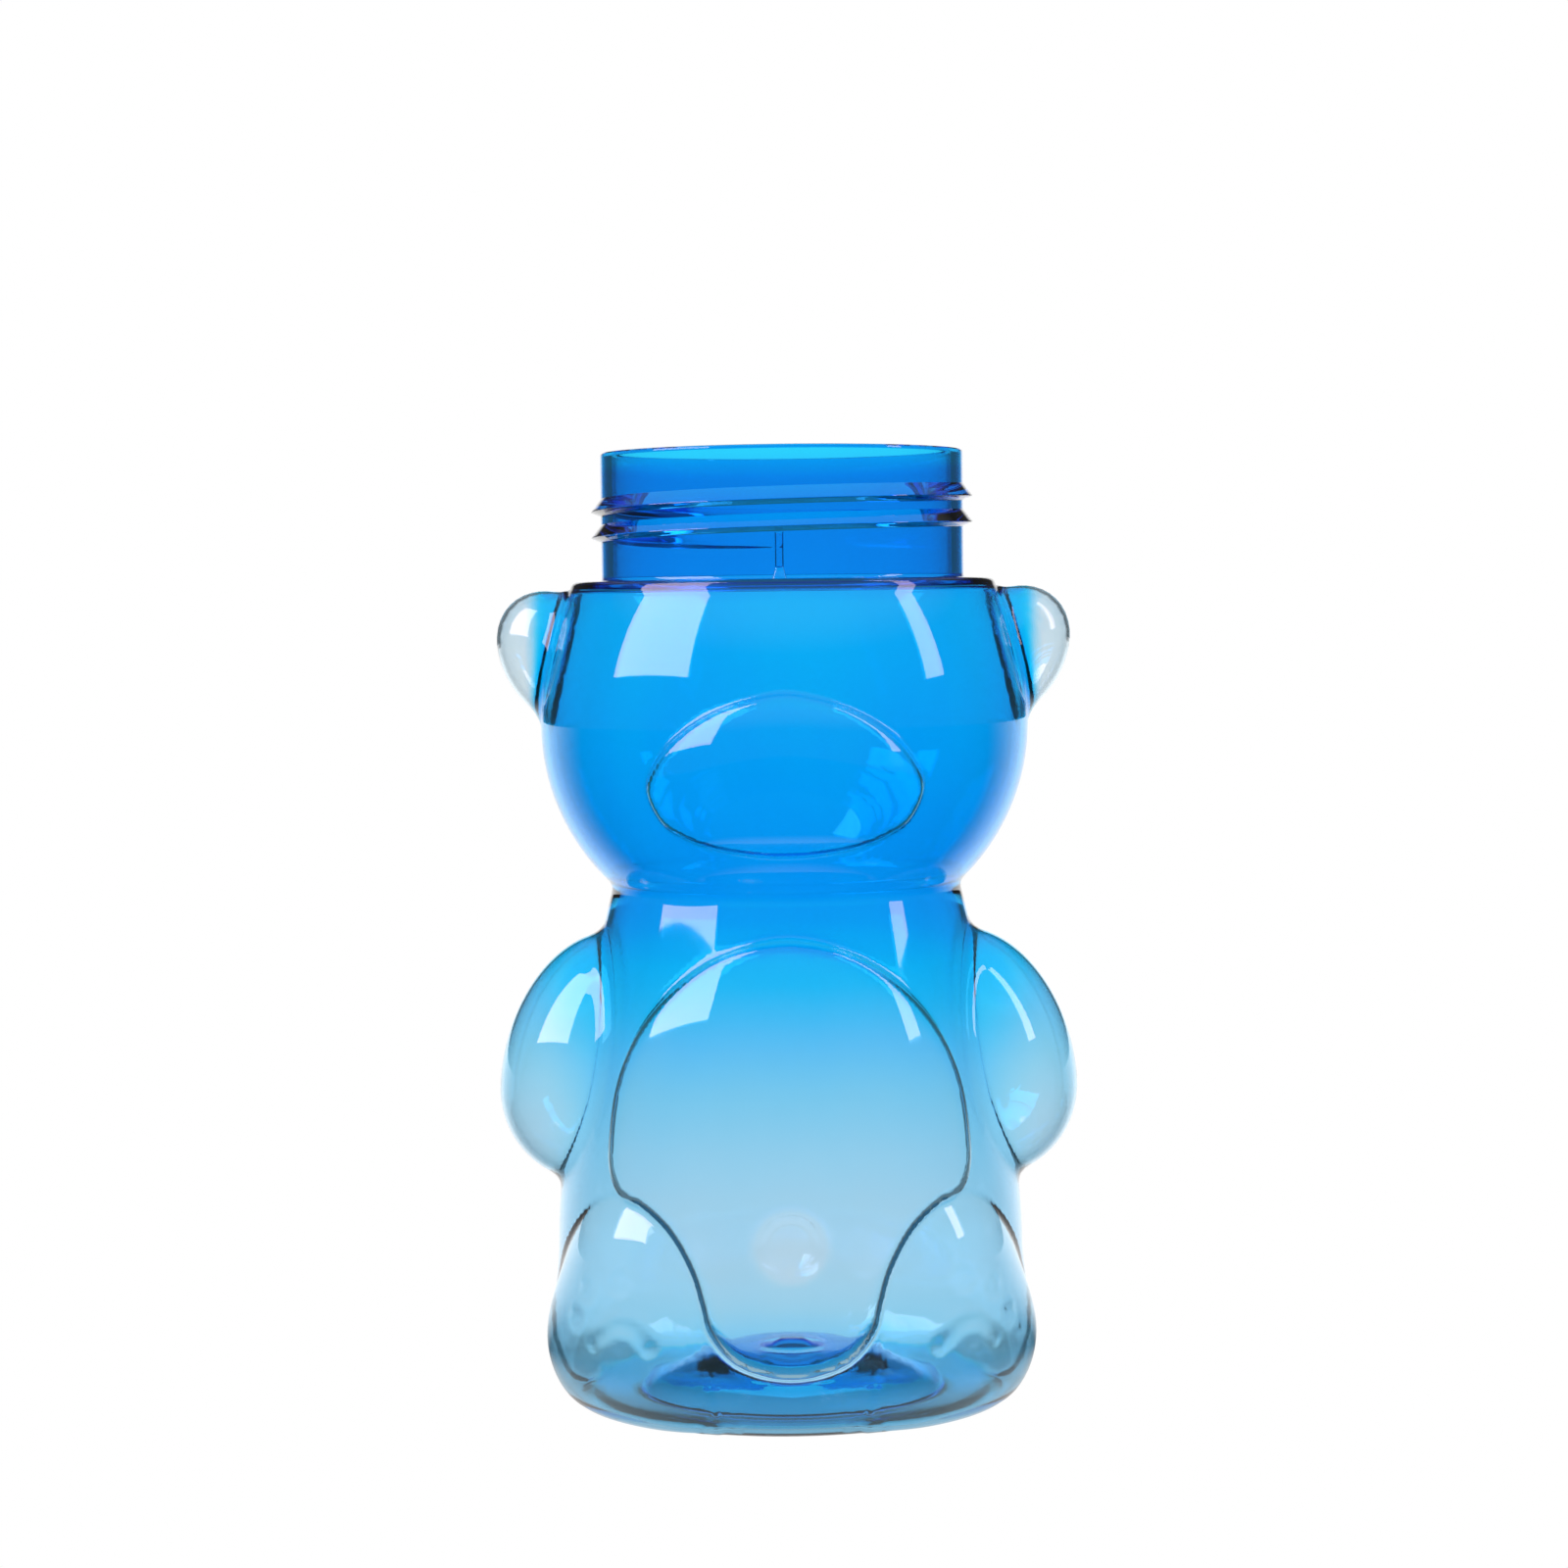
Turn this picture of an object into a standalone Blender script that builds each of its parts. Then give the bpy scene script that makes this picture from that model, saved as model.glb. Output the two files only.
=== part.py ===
"""Bear-shaped water bottle: one blow-moulded transparent shell.

The bottle stands on the plane z = 0 with its axis on the Z axis and its face towards -Y. The outside is a
turned body joined with egg-shaped ears, arms, feet and a tail, with raised panels for the muzzle and the
belly, and with a screw thread on the neck. The inside is the same set of forms, each one wall thinner.
"""

import math
from typing import NamedTuple

import bmesh
import bpy
from mathutils import Vector

MM = 0.001

# Neck
NECK_RADIUS = 29.75 * MM
NECK_WALL = 1.9 * MM
NECK_LENGTH = 21.0 * MM
RIM_CHAMFER = 0.3 * MM
MOUTH_OVERRUN = 1.0 * MM

# Shoulder, the flat ledge that the neck stands on
SHOULDER_HEIGHT = 134.1 * MM
SHOULDER_LEDGE = 5.15 * MM
SHOULDER_CORNER = 1.1 * MM
SHOULDER_CORNER_END = math.radians(30.0)
SHOULDER_THICKNESS = 1.8 * MM
RIM_HEIGHT = SHOULDER_HEIGHT + NECK_LENGTH

# Thread, a single right-hand start
THREAD_PITCH = 4.233 * MM
THREAD_TURNS = 2.05
THREAD_DEPTH = 1.5 * MM
THREAD_CLEARANCE = 5.9 * MM
THREAD_START_AZIMUTH = math.radians(81.0)
THREAD_TOP_RISE = 2.3 * MM
THREAD_CREST_LAND = 0.3 * MM
THREAD_UNDERCUT = 0.3 * MM
THREAD_ROOT_SINK = 0.6 * MM
THREAD_FADE_TURNS = 0.07
THREAD_END_SCALE = 0.4

# Locating rib under the thread, on the front of the neck
RIB_WIDTH = 1.3 * MM
RIB_PROUD = 0.5 * MM
RIB_LENGTH = 7.1 * MM
RIB_SINK = 0.8 * MM
RIB_OFFSET = -0.5 * MM

# Head
HEAD_SWELL = 5.15 * MM
HEAD_WIDEST_DROP = 23.6 * MM
HEAD_LOWER_ARC = 35.45 * MM
HEAD_TOP_RADIUS = NECK_RADIUS + SHOULDER_LEDGE
HEAD_RADIUS = HEAD_TOP_RADIUS + HEAD_SWELL
HEAD_WIDEST_HEIGHT = SHOULDER_HEIGHT - HEAD_WIDEST_DROP

# Waist and torso. A handle is the pull of a curve at its end, outward and upward
WAIST_RADIUS = 28.8 * MM
WAIST_FILLET = 2.2 * MM
HIP_RADIUS = 38.4 * MM
HIP_HEIGHT = 26.0 * MM
TORSO_UPPER_HANDLE = (2.7 * MM, -9.6 * MM)
TORSO_LOWER_HANDLE = (-0.4 * MM, 20.0 * MM)
HIP_UPPER_HANDLE = (0.0, -6.0 * MM)
HIP_LOWER_HANDLE = (0.0, 5.5 * MM)

# Heel and base
HEEL_SWELL = 1.1 * MM
HEEL_HEIGHT = 11.5 * MM
HEEL_ROUND_WIDTH = 5.5 * MM
HEEL_INSET_SHARE = 0.3
BASE_RING_WIDTH = 10.0 * MM
BASE_DOME_HEIGHT = 6.8 * MM
BASE_THICKNESS = 1.8 * MM
GATE_RADIUS = 4.5 * MM
GATE_RISE = 0.5 * MM
DOME_TOP_HANDLE = (6.0 * MM, 0.0)
DOME_RING_HANDLE = (-7.0 * MM, 5.0 * MM)
SKIRT_DEPTH = 1.0 * MM
HEEL_RADIUS = HIP_RADIUS + HEEL_SWELL
BASE_RING_OUTER_RADIUS = HEEL_RADIUS - HEEL_ROUND_WIDTH
BASE_RING_INNER_RADIUS = BASE_RING_OUTER_RADIUS - BASE_RING_WIDTH

# Walls. What is blown out furthest is thinnest
BODY_WALL = 1.1 * MM
LIMB_WALL = 0.9 * MM
EAR_WALL = 0.8 * MM

# Ears. An inset is how deep a centre lies under the turned wall beside it
EAR_INSET = 1.7 * MM
EAR_RISE = 11.7 * MM
EAR_HALF_WIDTH = 9.65 * MM
EAR_HALF_DEPTH = 10.5 * MM
EAR_ABOVE = 10.4 * MM
EAR_BELOW = 11.9 * MM
EAR_LEAN = 0.237

# Arms
ARM_INSET = 4.8 * MM
ARM_HEIGHT = 52.2 * MM
ARM_HALF_WIDTH = 17.0 * MM
ARM_HALF_DEPTH = 17.0 * MM
ARM_ABOVE = 24.4 * MM
ARM_BELOW = 17.1 * MM
ARM_LEAN = -0.087

# Feet
FOOT_AZIMUTH = math.radians(44.0)
FOOT_INSET = 16.9 * MM
FOOT_HEIGHT = 18.0 * MM
FOOT_HALF_WIDTH = 20.0 * MM
FOOT_ABOVE = 32.0 * MM
FOOT_FLOOR_GAP = 0.6 * MM
FOOT_SOLE_THICKENING = 0.9 * MM

# Tail
TAIL_RADIUS = 8.0 * MM
TAIL_HEIGHT = 12.5 * MM
TAIL_PROUD = 4.0 * MM

# Muzzle panel, on the unrolled wall. A power over 1 squares off its half of the outline
MUZZLE_DROP = 8.5 * MM
MUZZLE_HALF_WIDTH = 22.6 * MM
MUZZLE_ABOVE = 14.4 * MM
MUZZLE_BELOW = 10.8 * MM
MUZZLE_TOP_POWER = 1.65
MUZZLE_BOTTOM_POWER = 2.1
MUZZLE_RISE = 4.0 * MM

# Belly panel, a wide blob blended with the tongue below it
BELLY_CENTRE = 40.0 * MM
BELLY_RISE = 2.4 * MM
BELLY_HEIGHT = 48.0 * MM
BELLY_HALF_WIDTH = 31.3 * MM
BELLY_ABOVE = 29.0 * MM
BELLY_BELOW = 15.5 * MM
BELLY_TOP_POWER = 1.5
BELLY_BOTTOM_POWER = 3.0
TONGUE_HEIGHT = 27.0 * MM
TONGUE_HALF_WIDTH = 12.6 * MM
TONGUE_ABOVE = 16.0 * MM
TONGUE_BELOW = 16.8 * MM
TONGUE_TOP_POWER = 2.0
TONGUE_BOTTOM_POWER = 2.6

# Panels: how they blend, sink into the wall and round off at the edge
BLOB_BLEND = 8.0
PANEL_SINK = 3.5 * MM
PANEL_EDGE_SINK = 0.5 * MM
PANEL_EDGE_POWER = 6.0
PANEL_OVERREACH = 1.03

# Fineness
TURN_STEPS = 44
THREAD_STEPS_PER_TURN = 44
ARC_STEP = math.radians(17.0)
TORSO_STEPS = 6
HIP_STEPS = 3
DOME_STEPS = 4
EAR_GRID = (16, 9)
ARM_GRID = (20, 12)
FOOT_GRID = (24, 14)
TAIL_GRID = (14, 8)
PANEL_GRID = (36, 8)
OUTLINE_SEARCH_STEPS = 40
LEVEL_FLOOR = 0.000001
MERGE = 0.00001


class Egg(NamedTuple):
    """Rounded form: centre, half sizes, its reach above and below the centre, and its lean in x."""

    centre: Vector
    half_width: float
    half_depth: float
    above: float
    below: float
    lean: float = 0.0


class Blob(NamedTuple):
    """Rounded outline on the unrolled wall, with a power for its upper and one for its lower half."""

    height: float
    half_width: float
    above: float
    below: float
    top_power: float
    bottom_power: float

    def level(self, across, height):
        """Level of a point: 0 at the centre and 1 on the line."""
        rise = height - self.height
        reach = self.above if rise > 0.0 else self.below
        power = self.top_power if rise > 0.0 else self.bottom_power
        total = (abs(across) / self.half_width) ** power + (abs(rise) / reach) ** power
        return max(total ** (1.0 / power), LEVEL_FLOOR)


def clear_scene():
    """Remove whatever the scene holds."""
    for leftover in list(bpy.data.objects):
        bpy.data.objects.remove(leftover, do_unlink=True)


def new_collection(name):
    """Make a collection under the scene's own."""
    collection = bpy.data.collections.new(name)
    bpy.context.scene.collection.children.link(collection)
    return collection


def arc(centre, half_width, half_height, start, end):
    """Points of an elliptic arc about a centre, angles measured from +X towards +Z."""
    steps = max(1, math.ceil(abs(end - start) / ARC_STEP))
    points = []
    for index in range(steps + 1):
        angle = start + (end - start) * index / steps
        radius = centre[0] + half_width * math.cos(angle)
        height = centre[1] + half_height * math.sin(angle)
        points.append((radius, height))
    return points


def bezier(start, start_handle, end_handle, end, steps):
    """Points of a cubic curve, with each handle given from its own end."""
    first = Vector(start)
    last = Vector(end)
    second = first + Vector(start_handle)
    third = last + Vector(end_handle)
    points = []
    for index in range(steps + 1):
        t = index / steps
        point = (first * (1 - t) ** 3 + second * 3 * t * (1 - t) ** 2
                 + third * 3 * t * t * (1 - t) + last * t ** 3)
        points.append((point.x, point.y))
    return points


def radius_at(profile, height):
    """Radius of a downward profile at a height."""
    for upper, lower in zip(profile, profile[1:]):
        if lower[1] <= height <= upper[1] and upper[1] > lower[1]:
            share = (upper[1] - height) / (upper[1] - lower[1])
            return upper[0] + (lower[0] - upper[0]) * share
    return profile[-1][0]


def body_profile(wall):
    """Radius and height down the side, from the shoulder to the heel, a wall inside the outer surface."""
    upper_rise = SHOULDER_HEIGHT - SHOULDER_CORNER - HEAD_WIDEST_HEIGHT
    upper_arc = (upper_rise ** 2 + HEAD_SWELL ** 2) / (2 * HEAD_SWELL)
    upper_centre = (HEAD_RADIUS - upper_arc, HEAD_WIDEST_HEIGHT)
    upper_angle = math.asin(upper_rise / upper_arc)
    upper = arc(upper_centre, upper_arc - wall, upper_arc - wall, upper_angle, 0.0)

    lower_centre = (HEAD_RADIUS - HEAD_LOWER_ARC, HEAD_WIDEST_HEIGHT)
    fillet_centre_radius = WAIST_RADIUS + WAIST_FILLET
    reach = HEAD_LOWER_ARC + WAIST_FILLET
    meeting = math.acos((fillet_centre_radius - lower_centre[0]) / reach)
    fillet_centre = (fillet_centre_radius, lower_centre[1] - reach * math.sin(meeting))
    lower = arc(lower_centre, HEAD_LOWER_ARC - wall, HEAD_LOWER_ARC - wall, 0.0, -meeting)

    torso_start_angle = math.atan2(TORSO_UPPER_HANDLE[0], -TORSO_UPPER_HANDLE[1])
    inside_fillet = WAIST_FILLET + wall
    waist = arc(fillet_centre, inside_fillet, inside_fillet, math.pi - meeting, math.pi + torso_start_angle)

    torso_start = waist[-1]
    torso_end = (HIP_RADIUS - wall, HIP_HEIGHT)
    torso = bezier(torso_start, TORSO_UPPER_HANDLE, TORSO_LOWER_HANDLE, torso_end, TORSO_STEPS)
    heel_top = (HEEL_RADIUS - wall, HEEL_HEIGHT)
    hip = bezier(torso_end, HIP_UPPER_HANDLE, HIP_LOWER_HANDLE, heel_top, HIP_STEPS)
    return upper + lower[1:] + waist[1:] + torso[1:] + hip[1:]


def heel_profile(wall):
    """Rounded heel from its widest point to the standing ring, and on to the axis."""
    centre = (BASE_RING_OUTER_RADIUS - wall * HEEL_INSET_SHARE, HEEL_HEIGHT)
    half_width = HEEL_ROUND_WIDTH - wall * (1.0 - HEEL_INSET_SHARE)
    heel = arc(centre, half_width, HEEL_HEIGHT - wall, 0.0, -math.pi / 2)
    return heel[1:] + [(0.0, wall)]


def dome_profile(wall):
    """Pushed-up middle of the base from the axis down to the standing ring, and a skirt below it."""
    gate = (GATE_RADIUS, BASE_DOME_HEIGHT + wall)
    ring = (BASE_RING_INNER_RADIUS, wall)
    dome = bezier(gate, DOME_TOP_HANDLE, DOME_RING_HANDLE, ring, DOME_STEPS)
    top = (0.0, BASE_DOME_HEIGHT + wall + GATE_RISE)
    return [top] + dome + [(BASE_RING_INNER_RADIUS, -SKIRT_DEPTH), (0.0, -SKIRT_DEPTH)]


def outer_profile():
    """Outer profile from the axis at the rim to the axis at the flat base."""
    rim = [(0.0, RIM_HEIGHT),
           (NECK_RADIUS - RIM_CHAMFER, RIM_HEIGHT),
           (NECK_RADIUS, RIM_HEIGHT - RIM_CHAMFER),
           (NECK_RADIUS, SHOULDER_HEIGHT)]
    corner_centre = (HEAD_TOP_RADIUS - SHOULDER_CORNER, SHOULDER_HEIGHT - SHOULDER_CORNER)
    corner = arc(corner_centre, SHOULDER_CORNER, SHOULDER_CORNER, math.pi / 2, SHOULDER_CORNER_END)
    return rim + corner + body_profile(0.0) + heel_profile(0.0)


def inner_profile():
    """Profile of the space inside, from the axis above the rim to the axis over the base."""
    bore = NECK_RADIUS - NECK_WALL
    ceiling = SHOULDER_HEIGHT - SHOULDER_THICKNESS
    mouth = [(0.0, RIM_HEIGHT + MOUTH_OVERRUN),
             (bore, RIM_HEIGHT + MOUTH_OVERRUN),
             (bore, ceiling)]
    body = body_profile(BODY_WALL)
    corner_height = ceiling - SHOULDER_CORNER
    corner_radius = radius_at(body, corner_height)
    corner = [(corner_radius - SHOULDER_CORNER, ceiling), (corner_radius, corner_height)]
    below_corner = [point for point in body if point[1] < corner_height - SHOULDER_CORNER]
    return mouth + corner + below_corner + heel_profile(BASE_THICKNESS)


def turned(name, profile, collection):
    """Solid of revolution made by a Screw modifier on a profile at +X."""
    mesh = bpy.data.meshes.new(name)
    points = [(radius, 0.0, height) for radius, height in profile]
    edges = [(index, index + 1) for index in range(len(points) - 1)]
    mesh.from_pydata(points, edges, [])
    body = bpy.data.objects.new(name, mesh)
    collection.objects.link(body)
    screw = body.modifiers.new("turn", 'SCREW')
    screw.axis = 'Z'
    screw.angle = math.tau
    screw.steps = TURN_STEPS
    screw.render_steps = TURN_STEPS
    screw.use_merge_vertices = True
    screw.merge_threshold = MERGE
    return body


def mesh_object(name, form, collection):
    """Object from a finished edit mesh."""
    form.normal_update()
    if form.calc_volume(signed=True) < 0.0:
        bmesh.ops.reverse_faces(form, faces=form.faces)
    mesh = bpy.data.meshes.new(name)
    form.to_mesh(mesh)
    form.free()
    body = bpy.data.objects.new(name, mesh)
    collection.objects.link(body)
    return body


def unit_sphere(grid):
    """Edit mesh of a sphere of radius 1 with its poles on Z, from a count of segments and of rings."""
    form = bmesh.new()
    bmesh.ops.create_uvsphere(form, u_segments=grid[0], v_segments=grid[1], radius=1.0)
    return form


def lobe(name, egg, wall, grid, collection):
    """Egg-shaped bulge, a wall inside its outer surface."""
    form = unit_sphere(grid)
    for vertex in form.verts:
        reach = egg.above if vertex.co.z > 0.0 else egg.below
        height = vertex.co.z * (reach - wall)
        across = vertex.co.x * (egg.half_width - wall) + egg.lean * height
        deep = vertex.co.y * (egg.half_depth - wall)
        vertex.co = egg.centre + Vector((across, deep, height))
    return mesh_object(name, form, collection)


def outline_reach(blobs, centre, angle):
    """Distance from a panel's centre to the blended outline of its blobs, in one direction."""
    inside = 0.0
    outside = sum(blob.half_width + blob.above + blob.below for blob in blobs)
    for _ in range(OUTLINE_SEARCH_STEPS):
        middle = (inside + outside) / 2
        across = middle * math.cos(angle)
        height = centre + middle * math.sin(angle)
        level = sum(blob.level(across, height) ** -BLOB_BLEND for blob in blobs) ** (-1.0 / BLOB_BLEND)
        if level < 1.0:
            inside = middle
        else:
            outside = middle
    return inside


def panel(name, blobs, centre, rise, wall, collection):
    """Pillow that rises from the front of the turned body inside the outline of its blobs."""
    profile = body_profile(wall)
    form = unit_sphere(PANEL_GRID)
    for vertex in form.verts:
        spread = math.hypot(vertex.co.x, vertex.co.y)
        facing = vertex.co.z
        angle = math.atan2(vertex.co.y, vertex.co.x)
        reach = (outline_reach(blobs, centre, angle) - wall) * PANEL_OVERREACH * spread
        height = centre + reach * math.sin(angle)
        body_radius = radius_at(profile, height)
        azimuth = reach * math.cos(angle) / body_radius
        if facing >= 0.0:
            lift = (rise + PANEL_EDGE_SINK) * (1.0 - spread ** PANEL_EDGE_POWER) - PANEL_EDGE_SINK
        else:
            lift = PANEL_SINK * facing - PANEL_EDGE_SINK
        radius = body_radius + lift
        vertex.co = Vector((radius * math.sin(azimuth), -radius * math.cos(azimuth), height))
    return mesh_object(name, form, collection)


def thread_section(scale):
    """Corners of the ridge seen along it: outward distance from the neck wall, and height over the crest."""
    depth = THREAD_DEPTH * scale
    land = THREAD_CREST_LAND * scale
    top = THREAD_TOP_RISE * scale
    foot = THREAD_UNDERCUT * scale
    overrun = THREAD_ROOT_SINK / depth
    return [(-THREAD_ROOT_SINK, top + (top - land) * overrun), (depth, land), (depth, 0.0),
            (-THREAD_ROOT_SINK, -foot - foot * overrun)]


def thread(name, collection):
    """Helical ridge lofted through sections that shrink at both ends."""
    form = bmesh.new()
    stations = int(round(THREAD_TURNS * THREAD_STEPS_PER_TURN))
    start_height = SHOULDER_HEIGHT + THREAD_CLEARANCE
    rings = []
    for index in range(stations + 1):
        turns = THREAD_TURNS * index / stations
        from_end = min(turns, THREAD_TURNS - turns)
        scale = min(1.0, THREAD_END_SCALE + (1.0 - THREAD_END_SCALE) * from_end / THREAD_FADE_TURNS)
        azimuth = THREAD_START_AZIMUTH + math.tau * turns
        height = start_height + THREAD_PITCH * turns
        ring = []
        for outward, rise in thread_section(scale):
            radius = NECK_RADIUS + outward
            place = (radius * math.cos(azimuth), radius * math.sin(azimuth), height + rise)
            ring.append(form.verts.new(place))
        rings.append(ring)
    for first, second in zip(rings, rings[1:]):
        count = len(first)
        for side in range(count):
            after = (side + 1) % count
            form.faces.new((first[side], first[after], second[after], second[side]))
    form.faces.new(rings[0][::-1])
    form.faces.new(rings[-1])
    return mesh_object(name, form, collection)


def locating_rib(name, collection):
    """Narrow upright rib on the front of the neck, standing on the shoulder."""
    form = bmesh.new()
    bmesh.ops.create_cube(form, size=1.0)
    foot = SHOULDER_HEIGHT - SHOULDER_THICKNESS / 2
    length = SHOULDER_HEIGHT + RIB_LENGTH - foot
    depth = RIB_PROUD + RIB_SINK
    centre = Vector((RIB_OFFSET, depth / 2 - NECK_RADIUS - RIB_PROUD, foot + length / 2))
    for vertex in form.verts:
        vertex.co = centre + vertex.co * Vector((RIB_WIDTH, depth, length))
    return mesh_object(name, form, collection)


def ear(side):
    """Ear on one side of the head."""
    height = HEAD_WIDEST_HEIGHT + EAR_RISE
    across = radius_at(body_profile(0.0), height) - EAR_INSET
    return Egg(Vector((side * across, 0.0, height)), EAR_HALF_WIDTH, EAR_HALF_DEPTH, EAR_ABOVE, EAR_BELOW,
               side * EAR_LEAN)


def arm(side):
    """Arm on one side of the torso."""
    across = radius_at(body_profile(0.0), ARM_HEIGHT) - ARM_INSET
    return Egg(Vector((side * across, 0.0, ARM_HEIGHT)), ARM_HALF_WIDTH, ARM_HALF_DEPTH, ARM_ABOVE, ARM_BELOW,
               side * ARM_LEAN)


def foot(side):
    """Foot on one side of the tongue, just clear of the plane that the bottle stands on."""
    from_axis = radius_at(body_profile(0.0), FOOT_HEIGHT) - FOOT_INSET
    across = side * from_axis * math.sin(FOOT_AZIMUTH)
    forward = -from_axis * math.cos(FOOT_AZIMUTH)
    return Egg(Vector((across, forward, FOOT_HEIGHT)), FOOT_HALF_WIDTH, FOOT_HALF_WIDTH, FOOT_ABOVE,
               FOOT_HEIGHT - FOOT_FLOOR_GAP)


def tail():
    """Round tail on the back of the heel."""
    from_axis = radius_at(body_profile(0.0), TAIL_HEIGHT) + TAIL_PROUD - TAIL_RADIUS
    return Egg(Vector((0.0, from_axis, TAIL_HEIGHT)), TAIL_RADIUS, TAIL_RADIUS, TAIL_RADIUS, TAIL_RADIUS)


def add_limbs(prefix, limb_wall, ear_wall, sole_thickening, collection):
    """Ears, arms, feet and tail, each thinner by its wall."""
    for side, word in ((-1.0, "right"), (1.0, "left")):
        lobe(f"{prefix}_ear_{word}", ear(side), ear_wall, EAR_GRID, collection)
        lobe(f"{prefix}_arm_{word}", arm(side), limb_wall, ARM_GRID, collection)
        shape = foot(side)
        raised = shape._replace(below=shape.below - sole_thickening)
        lobe(f"{prefix}_foot_{word}", raised, limb_wall, FOOT_GRID, collection)
    lobe(f"{prefix}_tail", tail(), limb_wall, TAIL_GRID, collection)


def add_panels(prefix, wall, collection):
    """Muzzle and belly. The belly runs down as a tongue between the feet."""
    muzzle_height = HEAD_WIDEST_HEIGHT - MUZZLE_DROP
    muzzle = Blob(muzzle_height, MUZZLE_HALF_WIDTH, MUZZLE_ABOVE, MUZZLE_BELOW,
                  MUZZLE_TOP_POWER, MUZZLE_BOTTOM_POWER)
    belly = Blob(BELLY_HEIGHT, BELLY_HALF_WIDTH, BELLY_ABOVE, BELLY_BELOW,
                 BELLY_TOP_POWER, BELLY_BOTTOM_POWER)
    tongue = Blob(TONGUE_HEIGHT, TONGUE_HALF_WIDTH, TONGUE_ABOVE, TONGUE_BELOW,
                  TONGUE_TOP_POWER, TONGUE_BOTTOM_POWER)
    panel(f"{prefix}_muzzle", [muzzle], muzzle_height, MUZZLE_RISE, wall, collection)
    panel(f"{prefix}_belly", [belly, tongue], BELLY_CENTRE, BELLY_RISE, wall, collection)


def boolean(body, operation, operand):
    """Exact Boolean modifier with one operand."""
    modifier = body.modifiers.new(operand.name, 'BOOLEAN')
    modifier.operation = operation
    modifier.solver = 'EXACT'
    modifier.object = operand


def hide_guides(collection):
    """Cutters and joined forms show as wires and stay out of the render."""
    for guide in collection.objects:
        guide.hide_render = True
        guide.display_type = 'WIRE'


def blue_plastic():
    """Clear blue plastic."""
    material = bpy.data.materials.new("clear_blue_plastic")
    material.use_nodes = True
    shader = material.node_tree.nodes["Principled BSDF"]
    shader.inputs["Base Color"].default_value = (0.02, 0.36, 0.86, 1.0)
    shader.inputs["Roughness"].default_value = 0.05
    shader.inputs["Metallic"].default_value = 0.0
    shader.inputs["Transmission Weight"].default_value = 0.9
    shader.inputs["IOR"].default_value = 1.55
    return material


def build():
    """Make the bottle."""
    clear_scene()
    parts = new_collection("bear_bottle")
    outer_forms = new_collection("outer_forms")
    inner_forms = new_collection("inner_forms")
    cutters = new_collection("cutters")

    bottle = turned("bottle", outer_profile(), parts)
    add_limbs("outer", 0.0, 0.0, 0.0, outer_forms)
    add_panels("outer", 0.0, outer_forms)
    thread("neck_thread", outer_forms)
    locating_rib("neck_rib", outer_forms)

    cavity = turned("cavity", inner_profile(), cutters)
    add_limbs("inner", LIMB_WALL, EAR_WALL, FOOT_SOLE_THICKENING, inner_forms)
    add_panels("inner", BODY_WALL, inner_forms)
    for form in inner_forms.objects:
        boolean(cavity, 'UNION', form)
    boolean(cavity, 'DIFFERENCE', turned("base_core", dome_profile(BASE_THICKNESS), cutters))

    for form in outer_forms.objects:
        boolean(bottle, 'UNION', form)
    boolean(bottle, 'DIFFERENCE', turned("base_recess", dome_profile(0.0), cutters))
    boolean(bottle, 'DIFFERENCE', cavity)
    weld = bottle.modifiers.new("weld", 'WELD')
    weld.merge_threshold = MERGE
    for guides in (outer_forms, inner_forms, cutters):
        hide_guides(guides)

    bottle.data.materials.append(blue_plastic())
    bottle.data.shade_smooth()


build()
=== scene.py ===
"""Clear blue bear-shaped drinking bottle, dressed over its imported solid.

The blown shell is spun from one profile that runs from the middle of the base, up the outside, over the rim
and down the inside. Its ears, arms, feet, tail, muzzle and belly are then pressed out of the spun wall, and
the screw thread and the locating rib are joined to the neck. Sizes are in metres, the bottle stands on z = 0
and its face looks towards -Y.
"""

import logging
import math
from dataclasses import dataclass, field
from enum import Enum
from functools import cached_property

import bmesh
import bpy
import numpy as np
from mathutils import Matrix, Vector


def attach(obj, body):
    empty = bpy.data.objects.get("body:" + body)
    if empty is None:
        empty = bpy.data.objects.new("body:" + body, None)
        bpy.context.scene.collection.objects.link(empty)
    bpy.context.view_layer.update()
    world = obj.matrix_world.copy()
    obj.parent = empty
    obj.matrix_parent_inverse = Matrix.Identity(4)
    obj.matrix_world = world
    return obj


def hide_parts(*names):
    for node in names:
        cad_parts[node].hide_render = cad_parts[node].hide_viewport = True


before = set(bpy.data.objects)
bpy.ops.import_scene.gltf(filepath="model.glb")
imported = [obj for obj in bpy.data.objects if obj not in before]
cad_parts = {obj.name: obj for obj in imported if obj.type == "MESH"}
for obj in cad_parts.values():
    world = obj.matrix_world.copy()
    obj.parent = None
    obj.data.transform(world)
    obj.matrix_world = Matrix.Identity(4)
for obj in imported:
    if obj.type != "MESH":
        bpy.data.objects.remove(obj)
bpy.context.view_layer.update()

LOG = logging.getLogger("bear_bottle")
MM = 0.001
CORNER_STEP = 6.0  # degrees between the points of a small corner
WHITE = (1.0, 1.0, 1.0, 1.0)
BLACK = (0.0, 0.0, 0.0, 1.0)
Pair = tuple[float, float]
Triple = tuple[float, float, float]
Path = list[Pair]


class Side(Enum):
    """Side of the bear, as the sign of its X."""

    RIGHT = -1.0
    LEFT = 1.0


class Zone(Enum):
    """Stretch of the wall's profile that a row of vertices belongs to."""

    BASE = 0
    SIDE = 1
    NECK = 2
    INNER_SIDE = 3
    INNER_BASE = 4


# Geometry helpers


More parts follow.
